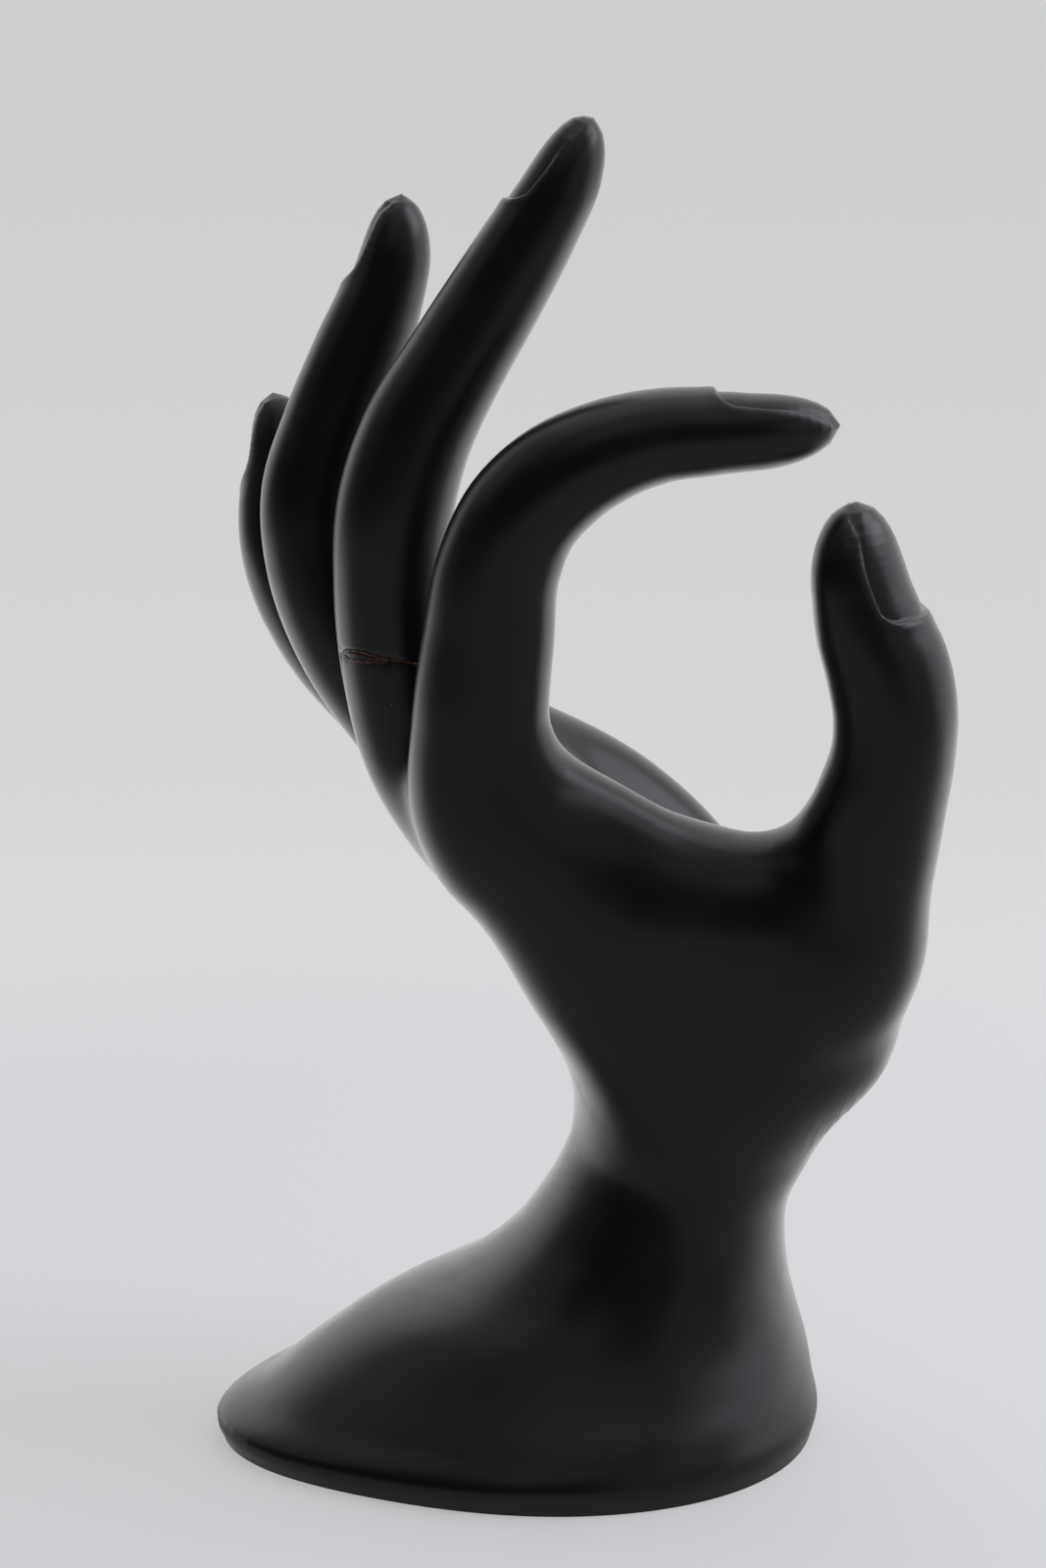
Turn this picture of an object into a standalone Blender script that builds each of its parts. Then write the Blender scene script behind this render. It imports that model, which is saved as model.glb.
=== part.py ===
"""Hand-shaped jewellery stand, one solid casting.

A left hand rises from a flared foot. Its index finger and thumb curl towards each other and leave an
open ring between their tips, and the other three fingers fan upwards. +Z is up, +X is the way the
palm faces, and -Y is the thumb's side. The origin is the middle of the foot's flat sole.

The hand is laid out as limbs: smooth centre lines that carry oval sections. The limbs are melted into
one skin with rounded hollows where they meet, the nails are sunk into it, and the sole is cut flat.
Tables are in millimetres, and the mesh is in metres.
"""

import bmesh
import bpy
import numpy as np

MM = 0.001

# Foot and wrist. The wrist's height is that of its waist, and the whole hand stands on it.
SOLE_LENGTH = 94.2
SOLE_INSET = 1.0
FOOT_LENGTH = 96.0
FOOT_DEPTH = 82.0
FOOT_EDGE_HEIGHT = 3.5
FLARE_HEIGHT = 8.0
EVEN_HEIGHT = 38.0
FOOT_EGG = 0.13
FOOT_LEAN = 0.16
WRIST_DEPTH = 43.0
WRIST_HEIGHT = 46.0
WRIST_LEFT = 7.4
WRIST_RIGHT = 46.2

# Level sections from the foot up to the wrist: share of the way up, left end, right end, half depth.
FLARE = (
    (0.0, -40.9, 47.2, 38.4),
    (0.16, -33.1, 46.1, 33.5),
    (0.32, -23.5, 44.4, 29.2),
    (0.475, -9.8, 43.0, 26.2),
    (0.63, -1.8, 42.4, 24.0),
    (0.79, 3.0, 42.8, 22.6),
)

# Level sections above the wrist: height above its waist, left end, right end, half depth.
SHOULDERS = (
    (8.0, 9.8, 49.8, 21.5),
    (16.0, 12.0, 51.0, 19.5),
    (24.0, 14.0, 46.0, 15.0),
)

# How widely the limbs melt into each other, and where along the fingers the narrow melt takes over.
PALM_MELT = 12.0
FINGER_MELT = 3.5
FOOT_MELT = 12.0
FINGER_DIRECTION = (-0.45, 0.0, 0.9)
FINGERS_PART_FROM = 61.6
FINGERS_PART_BY = 73.6

# Mesh. The foot is built on below the floor and cut flat there.
BURIED = 10.0
FAR = 14.0
SWELL = 1.0
RING_POINTS = 24
SAMPLE_STEP = 1.5
VOXEL = 1.3
MOST_TRIANGLES = 10000
SKIN_COLOUR = (0.012, 0.012, 0.013, 1.0)
SKIN_ROUGHNESS = 0.42

# Stations of each digit, from the wrist outwards: x, y, height above the wrist, thickness, breadth.
INDEX = (
    (27.0, -5.0, 8.0, 20.0, 26.0),
    (22.0, -9.5, 18.2, 19.8, 26.0),
    (11.2, -13.8, 34.5, 22.8, 24.0),
    (1.8, -18.0, 50.4, 20.2, 20.0),
    (-5.4, -20.6, 61.5, 21.8, 18.4),
    (-5.9, -22.0, 73.4, 20.6, 17.5),
    (-4.6, -23.0, 86.7, 19.6, 16.8),
    (-3.2, -24.0, 97.0, 18.5, 16.6),
    (0.4, -25.0, 105.4, 17.6, 16.6),
    (5.6, -25.5, 110.8, 16.8, 16.4),
    (12.5, -26.0, 114.8, 15.4, 15.6),
    (20.0, -26.0, 117.1, 14.0, 14.6),
    (28.0, -26.0, 117.8, 13.0, 13.8),
    (35.0, -26.0, 117.9, 11.6, 12.8),
)
INDEX_TIP = (46.8, -26.0, 118.8)
MIDDLE = (
    (27.0, -1.0, 8.0, 20.0, 26.0),
    (19.6, -2.5, 20.8, 20.2, 26.0),
    (9.0, -4.0, 40.0, 19.6, 23.0),
    (-7.2, -5.0, 54.6, 20.2, 20.0),
    (-14.4, -5.5, 65.6, 19.4, 18.0),
    (-18.2, -6.0, 78.0, 18.0, 17.0),
    (-19.6, -7.0, 91.5, 17.6, 16.6),
    (-18.6, -8.0, 105.0, 17.8, 16.6),
    (-15.4, -8.0, 115.2, 17.0, 16.2),
    (-9.8, -8.0, 125.5, 15.6, 15.4),
    (-3.6, -8.0, 135.8, 14.6, 14.6),
    (2.1, -8.0, 145.4, 13.2, 13.8),
    (5.4, -8.0, 150.8, 11.8, 12.8),
)
MIDDLE_TIP = (10.6, -8.0, 162.5)
RING = (
    (27.0, 4.0, 8.0, 20.0, 26.0),
    (20.7, 6.0, 21.0, 20.5, 24.0),
    (7.5, 8.5, 40.0, 19.5, 21.0),
    (-7.5, 9.0, 56.5, 18.5, 18.0),
    (-18.0, 9.5, 67.5, 17.6, 17.0),
    (-27.0, 10.0, 80.0, 16.8, 16.2),
    (-31.6, 11.0, 92.0, 16.4, 15.8),
    (-32.2, 11.5, 103.0, 16.4, 15.8),
    (-29.4, 12.0, 113.0, 15.6, 15.4),
    (-25.8, 12.0, 122.5, 14.8, 14.6),
    (-22.2, 12.5, 131.3, 13.6, 13.8),
    (-19.8, 13.0, 138.0, 11.8, 12.8),
)
RING_TIP = (-18.1, 13.0, 149.4)
LITTLE = (
    (28.0, 8.0, 10.0, 20.0, 22.0),
    (20.5, 14.0, 25.0, 20.0, 20.0),
    (7.0, 20.0, 43.0, 18.0, 18.0),
    (-10.0, 22.5, 57.5, 16.2, 16.5),
    (-22.8, 24.0, 68.2, 15.8, 15.6),
    (-33.0, 25.5, 79.8, 14.6, 15.0),
    (-38.0, 27.0, 91.0, 13.6, 14.2),
    (-38.6, 28.0, 99.5, 13.0, 13.4),
    (-38.0, 29.0, 106.0, 11.6, 12.4),
)
LITTLE_TIP = (-39.4, 30.0, 116.7)
THUMB = (
    (27.0, -2.0, 7.0, 20.0, 24.0),
    (33.6, -5.5, 14.0, 25.2, 28.0),
    (43.0, -10.9, 25.6, 33.0, 28.0),
    (45.4, -15.5, 33.5, 28.4, 26.0),
    (49.0, -19.5, 45.5, 24.2, 23.0),
    (52.3, -22.5, 55.0, 22.0, 21.0),
    (54.2, -24.5, 62.5, 19.6, 20.0),
    (55.6, -25.6, 69.5, 18.4, 19.2),
    (55.8, -26.0, 75.5, 18.5, 18.8),
    (54.5, -26.0, 82.5, 18.4, 18.8),
    (51.8, -26.0, 89.5, 16.4, 18.2),
    (50.2, -26.0, 95.5, 14.0, 17.2),
)
THUMB_TIP = (48.9, -26.0, 107.7)

# The flesh of the palm: its far edge, its floor, its near side, and the web from index finger to thumb.
HEEL = (
    (30.0, 6.0, 8.0, 22.0, 24.0),
    (31.5, 13.0, 20.0, 25.0, 22.0),
    (26.0, 17.5, 34.5, 26.0, 21.0),
    (14.2, 20.5, 48.8, 23.0, 20.0),
    (0.0, 22.5, 58.5, 18.5, 17.5),
    (-14.0, 24.0, 65.0, 14.0, 14.5),
)
PALM_FLOOR = (
    (26.0, 2.0, 12.0, 22.0, 30.0),
    (20.2, 2.0, 25.0, 24.0, 34.0),
    (11.5, 3.0, 40.0, 22.0, 38.0),
    (1.5, 4.0, 53.0, 18.0, 36.0),
)
NEAR_SIDE = (
    (28.0, -3.0, 8.0, 24.0, 28.0),
    (27.5, -8.0, 18.0, 32.0, 32.0),
    (26.5, -12.5, 30.0, 36.0, 28.0),
    (24.5, -15.5, 42.0, 34.0, 24.0),
)
WEB = (
    (-0.6, -18.0, 57.0, 25.0, 18.0),
    (8.0, -18.0, 52.0, 26.0, 18.0),
    (19.0, -18.0, 45.5, 26.0, 18.0),
    (31.0, -18.5, 41.0, 26.0, 18.0),
    (42.0, -19.5, 40.5, 25.0, 19.0),
    (48.6, -21.0, 35.5, 27.0, 20.0),
)

# Nails: length, half width, and the way each faces.
NAILS = (
    ("index", 17.0, 4.5, (0.05, 0.0, 1.0)),
    ("middle", 19.0, 4.6, (-0.86, 0.30, 0.45)),
    ("ring", 14.5, 4.3, (-0.90, 0.42, 0.20)),
    ("little", 14.5, 3.9, (-0.86, 0.50, 0.0)),
    ("thumb", 17.5, 6.0, (0.84, -0.54, 0.10)),
)
NAIL_SINK = 0.6
NAIL_EDGE = 1.0

# The direction across each limb that its breadth is measured along.
ACROSS_HAND = (0.0, 1.0, 0.0)
ACROSS_THUMB = (-0.54, -0.84, 0.0)


def smooth_path(rows, count):
    """Values at count even steps along a smooth curve through the rows, whose first columns are a place."""
    rows = np.asarray(rows, float)
    gaps = np.linalg.norm(np.diff(rows[:, :3], axis=0), axis=1)
    at = np.concatenate([[0.0], np.cumsum(gaps)])
    slopes = np.gradient(rows, at, axis=0)
    wanted = np.linspace(0.0, at[-1], count)
    cell = np.clip(np.searchsorted(at, wanted, side="right") - 1, 0, len(gaps) - 1)
    width = gaps[cell][:, None]
    t = (wanted - at[cell])[:, None] / width
    return (
        (1 + 2 * t) * (1 - t) ** 2 * rows[cell]
        + t * (1 - t) ** 2 * width * slopes[cell]
        + t**2 * (3 - 2 * t) * rows[cell + 1]
        + t**2 * (t - 1) * width * slopes[cell + 1]
    )


def unit(vectors):
    return vectors / np.maximum(np.linalg.norm(vectors, axis=-1, keepdims=True), 1e-12)


class Limb:
    """A smooth centre line that carries oval sections, with a rounded end if it has a tip."""

    CAP_ROUNDNESS = 1.8

    def __init__(self, stations, across, tip=None):
        rows = np.array(stations)
        if tip is not None:
            rows = np.vstack([rows, [*tip, *rows[-1, 3:]]])
        rows[:, 2] += WRIST_HEIGHT
        length = np.linalg.norm(np.diff(rows[:, :3], axis=0), axis=1)
        path = smooth_path(rows, int(length.sum() / SAMPLE_STEP) + 2)
        self.centre = path[:, :3]
        self.half = path[:, 3:] / 2
        if tip is not None:
            along = np.linspace(0.0, length.sum(), len(path))
            cap = np.clip((along - length[:-1].sum()) / length[-1], 0.0, 1.0)
            closing = (1 - cap**self.CAP_ROUNDNESS) ** (1 / self.CAP_ROUNDNESS)
            self.half = self.half * np.maximum(closing, 0.02)[:, None]
        self.along = unit(np.gradient(self.centre, axis=0))
        across = np.asarray(across, float)
        level = across - (self.along @ across)[:, None] * self.along
        self.across = unit(level)
        self.back = np.cross(self.along, self.across)
        self.low = self.centre.min(axis=0) - self.half.max() - FAR
        self.high = self.centre.max(axis=0) + self.half.max() + FAR

    def nearest(self, points):
        """For each point, the section that it lies in, as an index and a share of the way to the next."""
        count = len(self.centre)
        reach = (self.centre**2).sum(1)[None] - 2 * points @ self.centre.T
        closest = np.clip(np.argmin(reach, axis=1), 1, count - 2)
        best_index = closest
        best_share = np.zeros(len(points))
        best_miss = np.full(len(points), np.inf)
        for first in (closest - 1, closest):
            step = self.centre[first + 1] - self.centre[first]
            offset = points - self.centre[first]
            share = np.clip((offset * step).sum(1) / (step**2).sum(1), 0.0, 1.0)
            miss = ((offset - share[:, None] * step) ** 2).sum(1)
            better = miss < best_miss
            best_index = np.where(better, first, best_index)
            best_share = np.where(better, share, best_share)
            best_miss = np.where(better, miss, best_miss)
        return best_index, best_share

    def distance(self, points):
        """Signed distance from the points to the limb's skin, negative inside."""
        outside = np.maximum(self.low - points, points - self.high).max(axis=1)
        found = np.maximum(outside, 0.0) + FAR
        close = outside < 0
        found[close] = self.close_distance(points[close])
        return found

    def close_distance(self, points):
        index, share = self.nearest(points)
        share = share[:, None]

        def mixed(values):
            return values[index] * (1 - share) + values[index + 1] * share

        offset = points - mixed(self.centre)
        half = mixed(self.half)
        thick = (offset * mixed(self.back)).sum(1) / half[:, 0]
        broad = (offset * mixed(self.across)).sum(1) / half[:, 1]
        beyond = (offset * mixed(self.along)).sum(1) / half.min(axis=1)
        level = np.sqrt(thick**2 + broad**2 + beyond**2) + 1e-9
        return np.linalg.norm(offset, axis=1) * (1 - 1 / level) - (level < 1e-6) * half.min(axis=1)

    def rings(self):
        """Outline points of each section, for a rough closed tube."""
        turn = np.linspace(0.0, 2 * np.pi, RING_POINTS, endpoint=False)
        swell = SWELL * (1 - finger_share(self.centre))
        half = self.half + swell[:, None]
        thick = half[:, :1, None] * np.cos(turn)[None, :, None] * self.back[:, None]
        broad = half[:, 1:, None] * np.sin(turn)[None, :, None] * self.across[:, None]
        return self.centre[:, None] + thick + broad


class Nail:
    """A nail bed, sunk into the back of a digit and rising towards its tip."""

    def __init__(self, limb, length, half_width, facing):
        left = np.cumsum(np.linalg.norm(np.diff(limb.centre[::-1], axis=0), axis=1))
        self.base = limb.centre[-2 - np.searchsorted(left, length)]
        self.along = unit(limb.centre[-1] - self.base)
        facing = np.asarray(facing)
        self.facing = unit(facing - (facing @ self.along) * self.along)
        self.side = np.cross(self.along, self.facing)
        self.length = length
        self.half_width = half_width

    def sink(self, points):
        found = np.zeros(len(points))
        close = np.linalg.norm(points - self.base, axis=1) < 1.3 * self.length
        offset = points[close] - self.base
        along = offset @ self.along
        rounding = np.clip(1 - along / self.half_width, 0.0, 2.0)
        inset = self.half_width - np.hypot(offset @ self.side, rounding * self.half_width)
        depth = NAIL_SINK * (1 - 0.6 * np.clip(along / self.length, 0.0, 1.0))
        found[close] = depth * eased(inset / NAIL_EDGE) * (offset @ self.facing > 0)
        return found


class Column:
    """The foot and wrist: oval level sections stacked over the sole."""

    def __init__(self):
        sole, foot, depth = SOLE_LENGTH / 2, FOOT_LENGTH / 2, FOOT_DEPTH / 2
        flare = np.array(FLARE)
        flare[:, 0] = FLARE_HEIGHT + (WRIST_HEIGHT - FLARE_HEIGHT) * flare[:, 0]
        shoulders = np.array(SHOULDERS)
        shoulders[:, 0] += WRIST_HEIGHT
        self.rows = np.array(
            [
                (-BURIED, SOLE_INSET - sole, sole - SOLE_INSET, depth - 2 * SOLE_INSET),
                (0.0, -sole, sole, depth - SOLE_INSET),
                (FOOT_EDGE_HEIGHT, -foot, foot, depth),
                *flare,
                (WRIST_HEIGHT, WRIST_LEFT, WRIST_RIGHT, WRIST_DEPTH / 2),
                *shoulders,
            ]
        )

    def section(self, heights):
        """Centre x, half length and half depth of the section at each height."""
        level = self.rows[:, 0]
        slopes = np.gradient(self.rows[:, 1:], level, axis=0)
        z = np.clip(heights, level[0], level[-1])
        cell = np.clip(np.searchsorted(level, z, side="right") - 1, 0, len(level) - 2)
        width = (level[cell + 1] - level[cell])[:, None]
        t = (z - level[cell])[:, None] / width
        ends = self.rows[:, 1:]
        found = (
            (1 + 2 * t) * (1 - t) ** 2 * ends[cell]
            + t * (1 - t) ** 2 * width * slopes[cell]
            + t**2 * (3 - 2 * t) * ends[cell + 1]
            + t**2 * (t - 1) * width * slopes[cell + 1]
        )
        left, right, depth = found.T
        return (left + right) / 2, (right - left) / 2, depth

    def egg(self, cosine, sine, heights):
        """How much further out the outline lies than an oval.

        It is fuller on the right, its left end leans towards the thumb's side, and the wrist is even.
        """
        fuller = FOOT_EGG * sine**2 * cosine - FOOT_LEAN * sine * np.minimum(cosine, 0.0) ** 4
        return 1 + fuller * (1 - eased((heights - FLARE_HEIGHT) / (EVEN_HEIGHT - FLARE_HEIGHT)))

    def level_miss(self, points):
        middle, length, depth = self.section(points[:, 2])
        u = (points[:, 0] - middle) / length
        v = points[:, 1] / depth
        level = np.hypot(u, v) + 1e-9
        outline = self.egg(u / level, v / level, points[:, 2])
        reach = np.hypot(u * length, v * depth)
        return reach * (1 - outline / level)

    def distance(self, points):
        """Signed distance from the points to the column's side and ends, negative inside."""
        nudge = np.array([0.0, 0.0, 0.25])
        miss = self.level_miss(points)
        lean = (self.level_miss(points + nudge) - self.level_miss(points - nudge)) / 0.5
        side = miss / np.hypot(1.0, lean)
        beyond_ends = np.maximum(points[:, 2] - self.rows[-1, 0], self.rows[0, 0] - points[:, 2])
        return np.maximum(side, beyond_ends)

    def rings(self):
        heights = np.linspace(self.rows[0, 0], self.rows[-1, 0], 40)
        middle, length, depth = self.section(heights)
        around = np.linspace(0.0, 2 * np.pi, 2 * RING_POINTS, endpoint=False)
        outline = self.egg(np.cos(around), np.sin(around), heights[:, None])
        x = middle[:, None] + outline * length[:, None] * np.cos(around)
        y = outline * depth[:, None] * np.sin(around)
        z = np.repeat(heights[:, None], len(around), axis=1)
        return np.stack([x, y, z], axis=2)


def eased(share):
    share = np.clip(share, 0.0, 1.0)
    return share**2 * (3 - 2 * share)


def finger_share(points):
    """0 in the palm, rising to 1 where the fingers are clear of it."""
    reach = (points - (0.0, 0.0, WRIST_HEIGHT)) @ np.array(FINGER_DIRECTION)
    return eased((reach - FINGERS_PART_FROM) / (FINGERS_PART_BY - FINGERS_PART_FROM))


def melt(first, second, width):
    """The nearer of two distances, eased into one another over a width."""
    overlap = np.maximum(width - np.abs(first - second), 0.0) / width
    return np.minimum(first, second) - overlap**3 * width / 6


class Hand:
    """The whole hand as one field of distances."""

    def __init__(self):
        self.column = Column()
        digits = {
            "index": Limb(INDEX, ACROSS_HAND, INDEX_TIP),
            "middle": Limb(MIDDLE, ACROSS_HAND, MIDDLE_TIP),
            "ring": Limb(RING, ACROSS_HAND, RING_TIP),
            "little": Limb(LITTLE, ACROSS_HAND, LITTLE_TIP),
            "thumb": Limb(THUMB, ACROSS_THUMB, THUMB_TIP),
        }
        flesh = [Limb(rows, ACROSS_HAND) for rows in (HEEL, PALM_FLOOR, NEAR_SIDE, WEB)]
        self.limbs = [*digits.values(), *flesh]
        self.nails = [Nail(digits[name], *shape) for name, *shape in NAILS]

    def distance(self, points):
        width = PALM_MELT + (FINGER_MELT - PALM_MELT) * finger_share(points)
        found = melt(self.column.distance(points), self.limbs[0].distance(points), FOOT_MELT)
        for limb in self.limbs[1:]:
            found = melt(found, limb.distance(points), width)
        for nail in self.nails:
            found += nail.sink(points)
        return found

    def settle(self, points, rounds=4):
        """Moves points onto the skin along the field's slope, and returns them with the skin's normals."""
        step = 0.05
        corners = np.array([(1, 1, 1), (1, -1, -1), (-1, 1, -1), (-1, -1, 1)]) * step
        for _ in range(rounds):
            around = [self.distance(points + corner) for corner in corners]
            slope = sum(value[:, None] * corner for value, corner in zip(around, corners)) / (4 * step**2)
            steep = np.maximum((slope**2).sum(1), 0.2)
            points = points - (sum(around) / 4 / steep)[:, None] * slope
        return points, unit(slope)


def add_tube(mesh, rings):
    """Adds a closed tube through the rings to the mesh."""
    loops = [[mesh.verts.new(point * MM) for point in ring] for ring in rings]
    count = len(loops[0])
    for lower, upper in zip(loops, loops[1:]):
        for i in range(count):
            j = (i + 1) % count
            mesh.faces.new((lower[i], lower[j], upper[j], upper[i]))
    mesh.faces.new(loops[0][::-1])
    mesh.faces.new(loops[-1])


def rough_hand(hand):
    """An object that holds a rough closed skin round all the limbs."""
    mesh = bmesh.new()
    for limb in [*hand.limbs, hand.column]:
        add_tube(mesh, limb.rings())
    bmesh.ops.recalc_face_normals(mesh, faces=mesh.faces)
    data = bpy.data.meshes.new("hand_stand")
    mesh.to_mesh(data)
    mesh.free()
    stand = bpy.data.objects.new("hand_stand", data)
    bpy.context.collection.objects.link(stand)
    return stand


def apply_modifiers(stand):
    graph = bpy.context.evaluated_depsgraph_get()
    data = bpy.data.meshes.new_from_object(stand.evaluated_get(graph))
    stand.modifiers.clear()
    stand.data = data


def remesh(stand, voxel):
    modifier = stand.modifiers.new("one_skin", "REMESH")
    modifier.mode = "VOXEL"
    modifier.voxel_size = voxel * MM
    apply_modifiers(stand)


def places(data):
    flat = np.empty(len(data.vertices) * 3, np.float32)
    data.vertices.foreach_get("co", flat)
    return flat.reshape(-1, 3).astype(float) / MM


def relax(data, points):
    """Evens out the spacing of the points along the skin."""
    flat = np.empty(len(data.edges) * 2, np.int32)
    data.edges.foreach_get("vertices", flat)
    ends = flat.reshape(-1, 2)
    total = np.zeros_like(points)
    count = np.zeros(len(points))
    for a, b in ((0, 1), (1, 0)):
        np.add.at(total, ends[:, a], points[ends[:, b]])
        np.add.at(count, ends[:, a], 1)
    return 0.5 * points + 0.5 * total / np.maximum(count, 1)[:, None]


def fit_skin(stand, hand):
    """Settles the rough skin's points onto the melted limbs."""
    data = stand.data
    points = places(data)
    for _ in range(3):
        points, _normals = hand.settle(points, rounds=1)
        points = relax(data, points)
    points, _normals = hand.settle(points, rounds=2)
    data.vertices.foreach_set("co", (points * MM).astype(np.float32).ravel())
    data.update()


def thin_out(stand):
    count = sum(len(face.vertices) - 2 for face in stand.data.polygons)
    modifier = stand.modifiers.new("fewer_faces", "DECIMATE")
    modifier.ratio = min(1.0, MOST_TRIANGLES / count)
    modifier.use_collapse_triangulate = True
    apply_modifiers(stand)


def cut_sole(stand):
    """Cuts the foot flat at z = 0 and closes it."""
    mesh = bmesh.new()
    mesh.from_mesh(stand.data)
    parts = [*mesh.verts, *mesh.edges, *mesh.faces]
    cut = bmesh.ops.bisect_plane(mesh, geom=parts, plane_co=(0, 0, 0), plane_no=(0, 0, -1), clear_outer=True)
    rim = [item for item in cut["geom_cut"] if isinstance(item, bmesh.types.BMEdge)]
    bmesh.ops.contextual_create(mesh, geom=rim)
    bmesh.ops.triangulate(mesh, faces=[face for face in mesh.faces if len(face.verts) > 3])
    bmesh.ops.recalc_face_normals(mesh, faces=mesh.faces)
    mesh.to_mesh(stand.data)
    mesh.free()


def main():
    for obj in list(bpy.data.objects):
        bpy.data.objects.remove(obj)
    hand = Hand()
    stand = rough_hand(hand)
    remesh(stand, VOXEL)
    fit_skin(stand, hand)
    thin_out(stand)
    cut_sole(stand)
    stand.data.shade_smooth()
    skin = bpy.data.materials.new("black_resin")
    skin.use_nodes = True
    finish = skin.node_tree.nodes["Principled BSDF"]
    finish.inputs["Base Color"].default_value = SKIN_COLOUR
    finish.inputs["Roughness"].default_value = SKIN_ROUGHNESS
    stand.data.materials.append(skin)


main()
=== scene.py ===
"""Hand-shaped jewellery stand, cast in one piece of satin black resin.

A left hand rises from a flared foot. Its index finger and thumb curl towards each other, and the other
three fingers fan upwards. The skin is laid out as limbs, which are smooth centre lines that carry oval
sections, melted together into one surface. The nails are then pressed into it. A mended crack crosses
the middle finger, and a little dust lies on the resin.

Tables are in millimetres and meshes in metres. +Z is up, +X is the way the palm faces, and -Y is the
side of the thumb.
"""

import logging
import math
from collections.abc import Callable, Iterable, Iterator, Mapping, Sequence
from contextlib import contextmanager
from dataclasses import dataclass, field
from enum import Enum
from typing import Any

import bmesh
import bpy
import numpy as np
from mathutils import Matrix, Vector


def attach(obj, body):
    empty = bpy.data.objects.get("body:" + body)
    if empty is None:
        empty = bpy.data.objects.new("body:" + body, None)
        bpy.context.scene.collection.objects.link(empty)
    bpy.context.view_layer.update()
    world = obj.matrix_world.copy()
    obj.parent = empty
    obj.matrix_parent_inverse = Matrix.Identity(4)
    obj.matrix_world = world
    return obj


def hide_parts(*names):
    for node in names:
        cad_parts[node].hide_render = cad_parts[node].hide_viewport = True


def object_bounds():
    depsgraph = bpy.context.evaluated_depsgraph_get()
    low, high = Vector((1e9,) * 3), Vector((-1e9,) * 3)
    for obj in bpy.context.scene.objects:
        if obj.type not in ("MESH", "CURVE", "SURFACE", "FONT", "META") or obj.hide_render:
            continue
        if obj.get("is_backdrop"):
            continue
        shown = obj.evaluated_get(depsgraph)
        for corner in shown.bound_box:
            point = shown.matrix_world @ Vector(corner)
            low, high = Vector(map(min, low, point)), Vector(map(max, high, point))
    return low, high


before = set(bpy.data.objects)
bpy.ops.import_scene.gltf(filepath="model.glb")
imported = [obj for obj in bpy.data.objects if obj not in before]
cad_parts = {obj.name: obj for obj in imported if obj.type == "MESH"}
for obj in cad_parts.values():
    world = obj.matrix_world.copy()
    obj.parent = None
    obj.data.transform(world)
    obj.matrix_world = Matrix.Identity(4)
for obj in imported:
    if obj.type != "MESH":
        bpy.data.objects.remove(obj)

log = logging.getLogger("hand_stand")

Array = np.ndarray
Point = tuple[float, float, float]
Row = tuple[float, ...]
Colour = tuple[float, float, float, float]

MM = 0.001
BODY = "root"
NODE = "hand_stand"
SLOT = "black_resin"

# An area lamp's watts for a radiance of one over a square metre.
LAMP_WATTS = 4.0

# The height of the wrist's waist, and stations of each limb above it, from the wrist outwards: x, y,
# height, thickness, breadth.
WRIST_HEIGHT = 46.0
INDEX = (
    (27.0, -5.0, 8.0, 20.0, 26.0),
    (22.0, -9.5, 18.2, 19.8, 26.0),
    (11.2, -13.8, 34.5, 22.8, 24.0),
    (1.8, -18.0, 50.4, 20.2, 20.0),
    (-5.4, -20.6, 61.5, 21.8, 18.4),
    (-5.9, -22.0, 73.4, 20.6, 17.5),
    (-4.6, -23.0, 86.7, 19.6, 16.8),
    (-3.2, -24.0, 97.0, 18.5, 16.6),
    (0.4, -25.0, 105.4, 17.6, 16.6),
    (5.6, -25.5, 110.8, 16.8, 16.4),
    (12.5, -26.0, 114.8, 15.4, 15.6),
    (20.0, -26.0, 117.1, 14.0, 14.6),
    (28.0, -26.0, 117.8, 13.0, 13.8),
    (35.0, -26.0, 117.9, 11.6, 12.8),
)
INDEX_TIP = (46.8, -26.0, 118.8)
MIDDLE = (
    (27.0, -1.0, 8.0, 20.0, 26.0),
    (19.6, -2.5, 20.8, 20.2, 26.0),
    (9.0, -4.0, 40.0, 19.6, 23.0),
    (-7.2, -5.0, 54.6, 20.2, 20.0),
    (-14.4, -5.5, 65.6, 19.4, 18.0),
    (-18.2, -6.0, 78.0, 18.0, 17.0),
    (-19.6, -7.0, 91.5, 17.6, 16.6),
    (-18.6, -8.0, 105.0, 17.8, 16.6),
    (-15.4, -8.0, 115.2, 17.0, 16.2),
    (-9.8, -8.0, 125.5, 15.6, 15.4),
    (-3.6, -8.0, 135.8, 14.6, 14.6),
    (2.1, -8.0, 145.4, 13.2, 13.8),
    (5.4, -8.0, 150.8, 11.8, 12.8),
)
MIDDLE_TIP = (10.6, -8.0, 162.5)
RING = (
    (27.0, 4.0, 8.0, 20.0, 26.0),
    (20.7, 6.0, 21.0, 20.5, 24.0),
    (7.5, 8.5, 40.0, 19.5, 21.0),
    (-7.5, 9.0, 56.5, 18.5, 18.0),
    (-18.0, 9.5, 67.5, 17.6, 17.0),
    (-27.0, 10.0, 80.0, 16.8, 16.2),
    (-31.6, 11.0, 92.0, 16.4, 15.8),
    (-32.2, 11.5, 103.0, 16.4, 15.8),
    (-29.4, 12.0, 113.0, 15.6, 15.4),
    (-25.8, 12.0, 122.5, 14.8, 14.6),
    (-22.2, 12.5, 131.3, 13.6, 13.8),
    (-19.8, 13.0, 138.0, 11.8, 12.8),
)
RING_TIP = (-18.1, 13.0, 149.4)
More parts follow.
